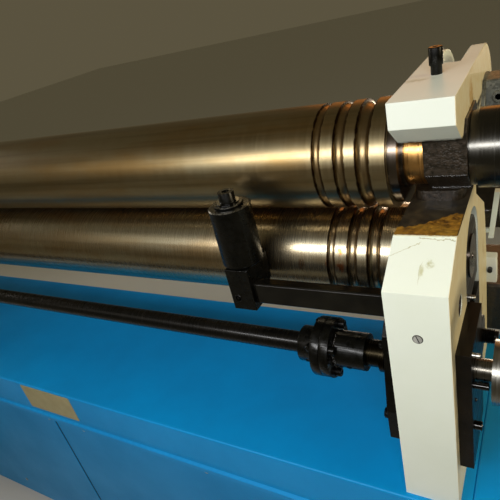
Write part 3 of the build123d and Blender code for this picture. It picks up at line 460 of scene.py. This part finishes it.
FINISHES = (
    (blue, ("deck", "base_cabinet", "pedestal_right", "pedestal_left", "floor_rail_right", "floor_rail_left",
            "floor_rail_end", "drive_cabinet", "drive_cover")),
    (cream, ("housing_left", "rear_guide_right", "rear_guide_left", "stop_bar")),
    (cream_housing, ("housing_right",)),
    (cream_yoke, ("yoke",)),
    (top_steel, ("top_roll",)),
    (roll_steel, ("lower_roll", "rear_roll")),
    (black_polish, ("top_roll_collar",)),
    (casting, ("top_bearing_block", "saddle", "rear_block_right", "rear_block_left", "rear_gear_case")),
    (bronze, ("top_bush", "top_bearing_ball")),
    (brown_plate, ("lower_block_right", "lower_block_left", "jack_box_right", "jack_box_left")),
    (bright, ("jack_screw_right", "jack_screw_left", "rear_screw_right", "rear_screw_left")),
    (black_shaft, ("adjust_shaft", "rear_shaft")),
    (black_part, ("shaft_bracket_right", "shaft_bracket_left", "coupling_left", "coupling_right",
                  "cone_post", "cone_roller", "cone_pin", "yoke_stud")),
    (black_bar, ("cone_bar",)),
    (stub_steel, ("stub_shaft",)),
    (wheel_steel, ("handwheel",)),
    (black_knob, ("handwheel_knob", "switch_plunger")),
    (zinc, ("hinge_pin", "pin_keeper")),
    (white_shell, ("switch_box",)),
)
for material, names in FINISHES:
    for name in names:
        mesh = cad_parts[name].data
        mesh.materials.clear()
        mesh.materials.append(material)

# Broken edges: paint rounds the castings' corners, and a file takes the sharpness off the machined ones.
# The keys are widths in millimetres
SOFT_EDGES = {
    1.0: ("housing_right", "housing_left", "rear_guide_right", "rear_guide_left", "yoke", "drive_cabinet"),
    0.5: ("jack_box_right", "jack_box_left", "shaft_bracket_right", "shaft_bracket_left", "cone_post",
          "cone_bar", "top_bearing_block", "saddle", "coupling_left", "coupling_right", "stop_bar",
          "switch_box", "rear_gear_case", "rear_block_right", "rear_block_left", "cone_pin", "yoke_stud"),
}
for width, names in SOFT_EDGES.items():
    for name in names:
        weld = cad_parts[name].modifiers.new("weld", "WELD")
        weld.merge_threshold = 0.01 * MM
        round_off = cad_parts[name].modifiers.new("round", "BEVEL")
        round_off.width = width * MM
        round_off.segments = 2
        round_off.limit_method = "ANGLE"
        round_off.angle_limit = math.radians(35)
        round_off.harden_normals = True


def facing(direction, at):
    """Turns +Z to a direction and moves the origin to a place."""
    turn = Vector(direction).to_track_quat("Z", "Y").to_matrix().to_4x4()
    return Matrix.Translation(at) @ turn


def add_piece(name, bm, material, body, sharp=32):
    """Makes an object of a mesh, smooth up to its sharp edges, which rides on a body."""
    bmesh.ops.remove_doubles(bm, verts=bm.verts, dist=0.002 * MM)
    bmesh.ops.recalc_face_normals(bm, faces=bm.faces)
    # bevels and cuts leave vertices and faces in an order that changes from run to run
    skew = Vector((1, 0.739, 0.413))
    bm.verts.sort(key=lambda vertex: vertex.co.dot(skew))
    bm.faces.sort(key=lambda face: face.calc_center_median().dot(skew))
    mesh = bpy.data.meshes.new(name)
    bm.to_mesh(mesh)
    bm.free()
    mesh.materials.append(material)
    mesh.polygons.foreach_set("use_smooth", [True] * len(mesh.polygons))
    mesh.set_sharp_from_angle(angle=math.radians(sharp))
    piece = bpy.data.objects.new(name, mesh)
    bpy.context.scene.collection.objects.link(piece)
    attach(piece, body)


def lift(bm, made, place, height):
    """Moves the vertices that an operator made by millimetres along Z of a place."""
    corners = [v for v in made["geom"] if isinstance(v, bmesh.types.BMVert)]
    bmesh.ops.translate(bm, verts=corners, vec=place.to_3x3() @ Vector((0, 0, height * MM)))


def lump(bm, place, size, fineness, grain, depth):
    """A ball stretched to a size and pushed about by noise of a grain and a depth, in millimetres."""
    ball = bmesh.ops.create_icosphere(
        bm, subdivisions=fineness, radius=MM, matrix=place @ Matrix.Diagonal((*size, 1)))
    for vertex in ball["verts"]:
        vertex.co += noise.noise_vector(vertex.co / (grain * MM)) * depth * MM


def stack(bm, place, rings, closed=True):
    """Bridges circles given as (height, radius, sides) in millimetres, and closes the last one."""
    loops = []
    for height, radius, sides in rings:
        made = bmesh.ops.create_circle(
            bm, segments=sides, radius=radius * MM, matrix=place @ Matrix.Translation((0, 0, height * MM)))
        corners = set(made["verts"])
        around = dict.fromkeys(edge for corner in made["verts"] for edge in corner.link_edges)
        loops.append([edge for edge in around if set(edge.verts) <= corners])
    for low, high in zip(loops, loops[1:]):
        bmesh.ops.bridge_loops(bm, edges=low + high)
    if closed:
        bmesh.ops.edgeloop_fill(bm, edges=loops[-1])


def cap_screw(bm, place, radius, height, sides=28):
    """Socket head: chamfered rim round a six-sided socket."""
    socket = radius * 0.58
    stack(bm, place, [
        (0, radius, sides), (height - 0.6, radius, sides), (height, radius - 0.6, sides),
        (height, socket, 6), (height * 0.35, socket, 6)])


def hex_head(bm, place, radius, height, stud=0.0, reach=0.0):
    """Six-sided head or nut, its corners turned off, with the end of a stud past it if there is one."""
    rings = [(0, radius, 6), (height * 0.86, radius, 6), (height, radius * 0.84, 24)]
    if stud:
        rings += [(height, stud, 24), (height + reach - 0.8, stud, 24), (height + reach, stud - 0.8, 24)]
    stack(bm, place, rings)


def washer(bm, place, radius, bore, thick):
    """Flat washer with its upper edge turned off."""
    stack(bm, place, [
        (0, radius, 32), (thick - 0.3, radius, 32), (thick, radius - 0.3, 32), (thick, bore, 32)],
        closed=False)


def slotted_screw(bm, place, radius, height, slot, deep):
    """Cheese head with a straight slot: the disc is cut twice and the strip between pressed down."""
    top = place @ Matrix.Translation((0, 0, height * MM))
    made = bmesh.ops.create_circle(bm, cap_ends=True, segments=32, radius=radius * MM, matrix=top)
    face = made["verts"][0].link_faces[0]
    lift(bm, bmesh.ops.extrude_edge_only(bm, edges=list(face.edges)), place, -height)
    across = place.to_3x3() @ Vector((1, 0, 0))
    centre = top.translation
    strip = [face]
    for side in (-1, 1):
        geom = dict.fromkeys(strip + [e for f in strip for e in f.edges] + [v for f in strip for v in f.verts])
        edge = centre + across * side * slot / 2 * MM
        cut = bmesh.ops.bisect_plane(bm, geom=list(geom), plane_co=edge, plane_no=across, dist=1e-7)
        strip = [f for f in cut["geom"] if isinstance(f, bmesh.types.BMFace)
                 and (f.calc_center_median() - centre).dot(across) * side < slot / 2 * MM]
    lift(bm, bmesh.ops.extrude_face_region(bm, geom=strip), place, -deep)
    bmesh.ops.delete(bm, geom=strip, context="FACES_ONLY")


def plate(bm, place, width, height, thick, corner, lip=0.3):
    """Flat plate with rounded corners and a small chamfer round its front."""
    size = Matrix.Diagonal((width / 2 * MM, height / 2 * MM, 1, 1))
    made = bmesh.ops.create_grid(bm, x_segments=1, y_segments=1, size=1.0, matrix=place @ size)
    rounded = bmesh.ops.bevel(
        bm, geom=made["verts"], offset=corner * MM, segments=5, profile=0.5, affect="VERTICES", material=-1)
    raised = bmesh.ops.extrude_face_region(bm, geom=[rounded["verts"][0].link_faces[0]])
    lift(bm, raised, place, thick)
    top = next(f for f in raised["geom"] if isinstance(f, bmesh.types.BMFace))
    bmesh.ops.bevel(
        bm, geom=list(top.edges), offset=lip * MM, segments=1, profile=0.5, affect="EDGES", material=-1)


def louvre(bm, place, width, height, proud):
    """Pressed louvre: a strip that leans out to an open lower edge, with closed ends."""
    made = bmesh.ops.create_cube(bm, size=1.0, matrix=place @ Matrix.Diagonal(
        (width * MM, height * MM, 2 * proud * MM, 1)))
    out = place.to_3x3() @ Vector((0, 0, 1))
    up = place.to_3x3() @ Vector((0, 1, 0))
    middle = place.translation
    upper = [v for v in made["verts"] if (v.co - middle).dot(out) > 0 and (v.co - middle).dot(up) > 0]
    bmesh.ops.translate(bm, verts=upper, vec=out * -proud * 0.95 * MM)
    edges = dict.fromkeys(edge for corner in made["verts"] for edge in corner.link_edges)
    bmesh.ops.bevel(
        bm, geom=list(edges), offset=min(proud, height) * 0.16 * MM, segments=2, profile=0.5, affect="EDGES",
        material=-1)


FRONT, BACK, RIGHT, LEFT, UP = (0, -1, 0), (0, 1, 0), (1, 0, 0), (-1, 0, 0), (0, 0, 1)


def filler_band():
    """Putty along the front of the housing's top face, thin and ragged behind, with one lump."""
    back_edge = ((710, -83), (723, -81), (734, -76), (742, -68), (751, -60), (759, -52), (768, -54))
    sunk = 0.35     # the sheet starts this far below the face, so that its edge runs out
    bm = bmesh.new()
    spread = Matrix.Translation((MID, -0.0775, HOUSING_TOP)) @ Matrix.Diagonal((0.0286, 0.0250, 1, 1))
    bmesh.ops.create_grid(bm, x_segments=58, y_segments=50, size=1.0, matrix=spread)
    for vertex in bm.verts:
        x, y = vertex.co.x / MM, vertex.co.y / MM
        for (x0, y0), (x1, y1) in zip(back_edge, back_edge[1:]):
            if x0 <= x <= x1:
                edge = y0 + (y1 - y0) * (x - x0) / (x1 - x0)
        edge += 3.5 * noise.noise(Vector((x / 4, y / 4, 0)))
        front = -101.2 + 0.9 * noise.noise(Vector((x / 3, 0, 7)))
        inside = min(1.0, max(0.0, (edge - y) / 2.5)) * min(1.0, max(0.0, (y - front) / 0.8))
        swell = max(0.0, 1 - math.hypot(x - 728, y + 66) / 9)
        rough = noise.fractal(Vector((x / 5, y / 5, 3)), 1.0, 2.0, 4)
        vertex.co.z += inside * (1.0 + 0.7 * rough + 2.2 * swell) * MM - sunk * MM
    low = [v for v in bm.verts if v.co.z < HOUSING_TOP - 0.2 * MM]
    bmesh.ops.delete(bm, geom=low, context="VERTS")
    add_piece("housing_filler", bm, filler, "frame", 80)


def paint_chips():
    """Flakes of enamel lifted along the front edge of the filler."""
    bm = bmesh.new()
    for step in range(26):
        x = 711.5 + 2.15 * step
        size = 0.9 + 0.8 * abs(noise.noise(Vector((step * 1.7, 0.3, 0))))
        y = -101.7 + 0.8 * noise.noise(Vector((step * 2.3, 4, 0)))
        place = Matrix.Translation((x * MM, y * MM, HOUSING_TOP + 0.5 * MM)) @ Matrix.Rotation(step, 4, "Z")
        lump(bm, place, (size * 1.6, size, 0.35), 1, 2, 0.3)
    add_piece("housing_paint_chips", bm, chipped, "frame", 30)


def housing_screws():
    """Slotted screws in the housings' front faces, and the clamp screw countersunk in the outer face."""
    screws = bmesh.new()
    seats = bmesh.new()
    for x in (SCREW_X, -SCREW_X):
        place = facing(FRONT, (x, HOUSING_FRONT, SCREW_Z))
        slotted_screw(screws, place @ Matrix.Rotation(0.35, 4, "Z"), 4.1, 0.6, 1.0, 0.5)
        stack(seats, place, [(0, 5.0, 32), (0.25, 4.9, 32), (0.25, 4.1, 32)], closed=False)
    add_piece("housing_front_screws", screws, scuffed, "frame")
    add_piece("housing_screw_seats", seats, dark_screw, "frame")
    bm = bmesh.new()
    cap_screw(bm, facing(RIGHT, (OUTER - 12 * MM, -0.099, 0.824)), 11.0, 4.0)
    add_piece("clamp_screw", bm, brown_plate, "frame")


def keeper_screw():
    """Socket screw in the front of the block that keeps the hinge pin."""
    bm = bmesh.new()
    cap_screw(bm, facing(FRONT, (0.785, 0.103, 0.973)), 6.5, 4.5)
    add_piece("pin_keeper_screw", bm, zinc, "yoke_set")


def coupling_bolts():
    """Four socket screws through the coupling's flanges, nuts behind, and set screws in the hubs."""
    bm = bmesh.new()
    bolt_circle, hub = 27.5 * MM, 20.6 * MM     # radii
    for step in range(4):
        angle = math.radians(57 + 90 * step)
        y, z = SHAFT_Y + bolt_circle * math.cos(angle), SHAFT_Z + bolt_circle * math.sin(angle)
        cap_screw(bm, facing(RIGHT, (FLANGE_FRONT, y, z)), 5.0, 6.5, 20)
        hex_head(bm, facing(LEFT, (FLANGE_BACK, y, z)), 5.4, 4.6, 3.0, 2.5)
    for x in (0.6565, 0.6065):
        for angle in (120, 210):
            out = Vector((0, math.cos(math.radians(angle)), math.sin(math.radians(angle))))
            at = Vector((x, SHAFT_Y, SHAFT_Z)) + out * hub
            cap_screw(bm, facing(out, at), 3.0, 1.2, 16)
    add_piece("coupling_screws", bm, black_part, "adjusting_shaft")


def bracket_bolts():
    """Hexagon bolts that hold the shaft brackets to the housings."""
    bm = bmesh.new()
    for x, out in ((INNER - 14.5 * MM, LEFT), (14.5 * MM - INNER, RIGHT)):
        for y, z in ((-0.1345, 0.692), (-0.122, 0.660), (-0.087, 0.700), (-0.090, 0.668)):
            hex_head(bm, facing(out, (x, y, z)), 6.4, 5.5)
        hex_head(bm, facing(out, (x, -0.1265, 0.7845)), 4.4, 4.5)
    add_piece("bracket_bolts", bm, black_part, "frame")


def plate_fittings():
    """Socket screws and bright pins on the bearing plate and beside it, and the worm shaft's thread."""
    bm = bmesh.new()
    for y, z, radius, height in (
            (-0.131, 0.753, 3.7, 14.5), (-0.132, 0.698, 4.8, 8.0), (-0.066, 0.698, 4.8, 8.0)):
        cap_screw(bm, facing(RIGHT, (PLATE_OUT, y, z)), radius, height, 24)
    cap_screw(bm, facing(RIGHT, (PLATE_OUT, -0.1185, 0.720)), 2.0, 1.5, 16)
    add_piece("plate_screws", bm, black_wet, "frame")
    bm = bmesh.new()
    stack(bm, facing(RIGHT, (OUTER - 2 * MM, -0.0455, 0.797)), [
        (0, 3.0, 20), (8, 3.0, 20), (9, 2.2, 20)])
    stack(bm, facing(RIGHT, (PLATE_OUT, -0.1345, 0.7943)), [
        (0, 2.5, 20), (3, 2.5, 20), (3.2, 2.0, 20), (3.8, 2.0, 20), (4.0, 2.5, 20), (7.0, 2.5, 20),
        (7.6, 1.9, 20)])
    add_piece("plate_pins", bm, bright, "frame")
    bm = bmesh.new()
    root, crest, pitch = 7.4, 8.4, 1.8
    rings = [(0, root, 28)]
    for turn in range(7):
        rings += [(0.4 + pitch * turn, crest, 28), (1.3 + pitch * turn, root, 28)]
    stack(bm, facing(RIGHT, (PLATE_OUT, WORM_Y, WORM_Z)), rings + [(14.0, 7.05, 28)], closed=False)
    add_piece("worm_shaft_thread", bm, black_part, "frame")


def cone_fittings():
    """Pin across the post of the guide roller, and the washer under its screw."""
    bm = bmesh.new()
    place = facing(FRONT, (0.5215, -0.121, 0.8205))
    stack(bm, place, [(0, 4.6, 28), (0.5, 4.1, 28), (0.5, 3.5, 28), (-0.5, 3.2, 28), (0.6, 1.6, 28)])
    add_piece("cone_post_pin", bm, black_part, "frame")
    bm = bmesh.new()
    washer(bm, facing(UP, (ROLLER_X, ROLLER_Y, AXIS - 13.2 * MM)), 13.5, 9.8, 1.2)
    add_piece("cone_screw_washer", bm, black_wet, "frame")


def roller_edges():
    """Rims of the guide roller and its boss, where the plates have rubbed the black oxide off."""
    bm = bmesh.new()
    place = facing(UP, (ROLLER_X, ROLLER_Y, AXIS - 16.5 * MM))
    stack(bm, place, [(-1.1, 25.04, 72), (0.06, 23.9, 72)], closed=False)
    stack(bm, place, [(2.0, 17.05, 56), (3.2, 17.05, 56)], closed=False)
    add_piece("roller_rubbed_edges", bm, rubbed, "guide_roller")


def coupling_grease():
    """Lumps of old grease in the corner between the coupling's flange and its hub."""
    bm = bmesh.new()
    for step in range(44):
        jitter = noise.noise_vector(Vector((step * 1.71, 3.0, 1.0)))
        angle = math.radians(100 + 170 * (step / 43) + 9 * jitter.x)
        out = Vector((0, math.cos(angle), math.sin(angle)))
        size = 1.0 + 1.3 * abs(jitter.y)
        x = FLANGE_FRONT + (1.2 + 3.0 * abs(jitter.z)) * MM
        at = Vector((x, SHAFT_Y, SHAFT_Z)) + out * (21.0 + 0.5 * jitter.y) * MM
        lump(bm, Matrix.Translation(at), (size, size, size), 2, 1.6, 0.5)
    add_piece("coupling_grease", bm, grease_wet, "adjusting_shaft", 60)


def block_grease():
    """Beads of grease squeezed out along two edges at the front of the drop end bearing block."""
    edges = ((-41.2, 937.2), (-15.5, 914.0))    # y and z of each
    bm = bmesh.new()
    for step in range(46):
        jitter = noise.noise_vector(Vector((step * 1.37, 0.5, 2.0)))
        x = 732 + 36.5 * (step / 45) + 0.8 * jitter.x
        y, z = edges[step % 2]
        size = 0.8 + 0.9 * abs(jitter.y)
        place = Matrix.Translation((x * MM, (y + 0.5 * jitter.z) * MM, (z + 0.7 * jitter.y) * MM))
        lump(bm, place, (size * 1.5, size * 0.8, size), 2, 1.5, 0.2)
    add_piece("block_grease", bm, grease_wet, "top_carrier", 60)


def guide_fittings():
    """Bolts behind the guides, screws of the gear case and grease nipples on the carriages."""
    bm = bmesh.new()
    for x in (0.732, -0.732):
        for z in (0.722, 0.780):
            place = facing(BACK, (x, 0.282, z))
            washer(bm, place, 11.0, 8.0, 1.6)
            hex_head(bm, place @ Matrix.Translation((0, 0, 1.4 * MM)), 9.2, 6.5)
    for y, z in ((0.149, 0.622), (0.149, 0.680), (0.245, 0.622), (0.245, 0.680)):
        cap_screw(bm, facing(RIGHT, (CASE_OUT, y, z)), 4.5, 4.0, 20)
    add_piece("guide_bolts", bm, black_part, "frame")
    bm = bmesh.new()
    for x, out in ((CARRIAGE_OUT, RIGHT), (-GUIDE_OUT, LEFT)):
        stack(bm, facing(out, (x, BACK_Y + 0.006, BACK_Z + 0.0325)), [
            (0, 3.4, 6), (2.4, 3.4, 6), (2.4, 2.2, 20), (4.2, 2.2, 20), (4.6, 1.5, 20), (5.6, 1.9, 20),
            (6.4, 1.2, 20)])
    add_piece("carriage_nipples", bm, bright, "frame")


def left_bearing_ring():
    """Ring screwed over the self-aligning bearing on the drive side housing's inner face."""
    bm = bmesh.new()
    place = facing(RIGHT, (-INNER, 0, AXIS))
    stack(
        bm, place, [(0, 60, 64), (2.9, 60, 64), (3.4, 59.4, 64), (3.4, 34, 64), (0.2, 34, 64)], closed=False)
    add_piece("bearing_ring", bm, black_part, "frame")
    bm = bmesh.new()
    bolt_circle = 51.5 * MM     # radius
    for step in range(6):
        angle = math.radians(30 + 60 * step)
        at = Vector((-INNER + 3.2 * MM, bolt_circle * math.cos(angle), AXIS + bolt_circle * math.sin(angle)))
        cap_screw(bm, facing(RIGHT, at), 4.2, 2.2, 20)
    add_piece("bearing_ring_screws", bm, black_part, "frame")


def label_plate():
    """Straw-coloured plate on the apron, left bare."""
    bm = bmesh.new()
    plate(bm, facing(FRONT, (0.048, DECK_FRONT, 0.5555)), 139, 57, 0.8, 2.5)
    add_piece("bare_label_plate", bm, foil, "frame")


def base_panels():
    """Cover panels on the cabinets and the pedestal, each on a dark joint and held by six screws."""
    panels = bmesh.new()
    joints = bmesh.new()
    screws = bmesh.new()
    inset = 14      # screws to the panel's edge
    for out, at, width, height in (
            (FRONT, (-0.36, PANEL_FRONT, 0.284), 640, 360), (FRONT, (0.36, PANEL_FRONT, 0.284), 640, 360),
            (BACK, (-0.36, PANEL_REAR, 0.284), 640, 360), (BACK, (0.36, PANEL_REAR, 0.284), 640, 360),
            (RIGHT, (PEDESTAL_OUT, -0.003, 0.325), 250, 440),
            (FRONT, (CABINET_X, DECK_FRONT, 0.325), 270, 440), (BACK, (CABINET_X, DECK_REAR, 0.325), 270, 440)):
        place = facing(out, at)
        plate(joints, place, width + 5, height + 5, 0.5, 9, 0.2)
        plate(panels, place @ Matrix.Translation((0, 0, 0.3 * MM)), width, height, 1.6, 8, 0.7)
        for x in (-width / 2 + inset, 0, width / 2 - inset):
            for y in (-height / 2 + inset, height / 2 - inset):
                spot = place @ Matrix.Translation((x * MM, y * MM, 1.8 * MM))
                slotted_screw(screws, spot, 4.2, 1.6, 1.1, 0.8)
    add_piece("panel_joints", joints, rubber, "frame")
    add_piece("cover_panels", panels, blue, "frame")
    add_piece("panel_screws", screws, bright, "frame")


def drive_louvres():
    """Two columns of pressed louvres on the front and back of the drive cabinet."""
    bm = bmesh.new()
    for out, y in ((FRONT, DECK_FRONT), (BACK, DECK_REAR)):
        for x in (CABINET_X - 0.072, CABINET_X + 0.072):
            for row in range(9):
                louvre(bm, facing(out, (x, y, 0.735 + 0.020 * row)), 104, 11, 5)
    add_piece("cabinet_louvres", bm, blue, "frame", 40)


def cover_screws():
    """Screws round the drive cabinet's end cover."""
    bm = bmesh.new()
    middle = (CABINET_TOP + DECK) / 2
    for y in (-0.133, -0.003, 0.127):
        for z in (middle - 0.198, middle, middle + 0.198):
            if (y, z) != (-0.003, middle):
                cap_screw(bm, facing(LEFT, (CABINET_END, y, z)), 4.6, 2.8, 20)
    add_piece("drive_cover_screws", bm, black_part, "frame")


def wheel_fittings():
    """Washer and nut on the end of the stub shaft, and a set screw in the handwheel's hub."""
    bm = bmesh.new()
    washer(bm, facing(RIGHT, (WHEEL_OUT, SHAFT_Y, SHAFT_Z)), 17, 11.4, 1.6)
    add_piece("wheel_washer", bm, zinc, "adjusting_shaft")
    bm = bmesh.new()
    hex_head(bm, facing(RIGHT, (WHEEL_OUT + 1.4 * MM, SHAFT_Y, SHAFT_Z)), 12.5, 8.0, 7.0, 4.0)
    cap_screw(bm, facing(UP, (0.8165, SHAFT_Y, SHAFT_Z + 31.8 * MM)), 3.2, 0.6, 16)
    add_piece("wheel_nut", bm, bright, "adjusting_shaft")


def switch_fittings():
    """Screws of the small white box, and the bright tip of its plunger."""
    bm = bmesh.new()
    for z in (0.708, 0.735):
        slotted_screw(bm, facing(BACK, (0.7665, 0.146, z)), 2.0, 0.5, 0.7, 0.35)
    for z in (0.7065, 0.7365):
        slotted_screw(bm, facing(RIGHT, (0.781, 0.138, z)), 1.8, 0.4, 0.6, 0.3)
    add_piece("switch_screws", bm, bright, "frame")
    bm = bmesh.new()
    stack(bm, facing(FRONT, (0.7726, 0.1252, 0.724)), [(-0.1, 1.8, 20), (0.5, 1.8, 20), (0.8, 1.4, 20)])
    add_piece("plunger_tip", bm, bright, "frame")


filler_band()
paint_chips()
housing_screws()
keeper_screw()
coupling_bolts()
bracket_bolts()
plate_fittings()
cone_fittings()
roller_edges()
coupling_grease()
block_grease()
guide_fittings()
left_bearing_ring()
label_plate()
base_panels()
drive_louvres()
cover_screws()
wheel_fittings()
switch_fittings()

# Camera: where the photograph was taken from, a little above the top roll, rolled to one side
camera_data = bpy.data.cameras.new("camera")
camera_data.sensor_width = 36.0
camera_data.lens = 35.18
camera_data.clip_start = 0.02
camera = bpy.data.objects.new("camera", camera_data)
bpy.context.scene.collection.objects.link(camera)
right = Vector((0.85785, 0.46141, -0.22630))
back = Vector((0.51214, -0.73083, 0.45126))
turn = Matrix((right, back.cross(right), back)).transposed().to_4x4()
camera.matrix_world = Matrix.Translation((0.83409, -0.51792, 1.13501)) @ turn
bpy.context.scene.camera = camera

# Floor and studio light
bm = bmesh.new()
bmesh.ops.create_grid(bm, x_segments=1, y_segments=1, size=14.0)
floor_mesh = bpy.data.meshes.new("floor")
bm.to_mesh(floor_mesh)
bm.free()
floor = bpy.data.objects.new("floor", floor_mesh)
bpy.context.scene.collection.objects.link(floor)
floor_mesh.materials.append(new_material("pale_floor", Roughness=0.7, Base_Color="#dcdcd8")[0])


def soft_light(name, place, target, size, power, tint, beam=180):
    """A rectangular lamp aimed at a point, its power in watts and its beam in degrees."""
    data = bpy.data.lights.new(name, "AREA")
    data.shape = "RECTANGLE"
    data.size, data.size_y = size
    data.energy = power
    data.spread = math.radians(beam)
    data.color = linear(tint)[:3]
    lamp = bpy.data.objects.new(name, data)
    bpy.context.scene.collection.objects.link(lamp)
    aim = (Vector(target) - Vector(place)).to_track_quat("-Z", "Y")
    lamp.matrix_world = Matrix.Translation(place) @ aim.to_matrix().to_4x4()


# The key is a narrow lamp just above the camera, as a flash is, and draws one bright line on each roll
soft_light("key", (0.55, -0.86, 1.355), (0.52, 0, 0.86), (1.3, 0.15), 6.4, "#fdfdff", 130)
# Weak lamps all round keep every side readable: front, drop end, behind the yoke, back and drive end
soft_light("fill", (-1.6, -2.4, 2.2), (0.0, 0, 0.8), (2.0, 1.2), 3.5, "#fff4e0")
soft_light("side", (3.2, 0.0, 1.5), (0.75, -0.05, 0.8), (1.2, 1.2), 4.0, "#ffeabf", 50)
soft_light("rear", (0.60, 0.95, 1.30), (0.65, 0, 0.98), (0.8, 0.4), 0.16, "#ff9a3c", 70)
soft_light("back", (-0.2, 2.7, 0.50), (-0.1, 0.15, 0.45), (2.4, 0.5), 3.4, "#ffe8cc", 34)
soft_light("left", (-3.8, 0.2, 1.6), (-1.1, 0, 0.70), (1.6, 1.2), 5, "#fff6ea", 60)

# The surroundings are warm and weak, so that the steel stays dark between the lamps
world = bpy.data.worlds.new("studio")
bpy.context.scene.world = world
world.use_nodes = True
world.node_tree.nodes["Background"].inputs["Color"].default_value = linear("#e4d3a6")
world.node_tree.nodes["Background"].inputs["Strength"].default_value = 0.13

bpy.context.scene.view_settings.view_transform = "Standard"
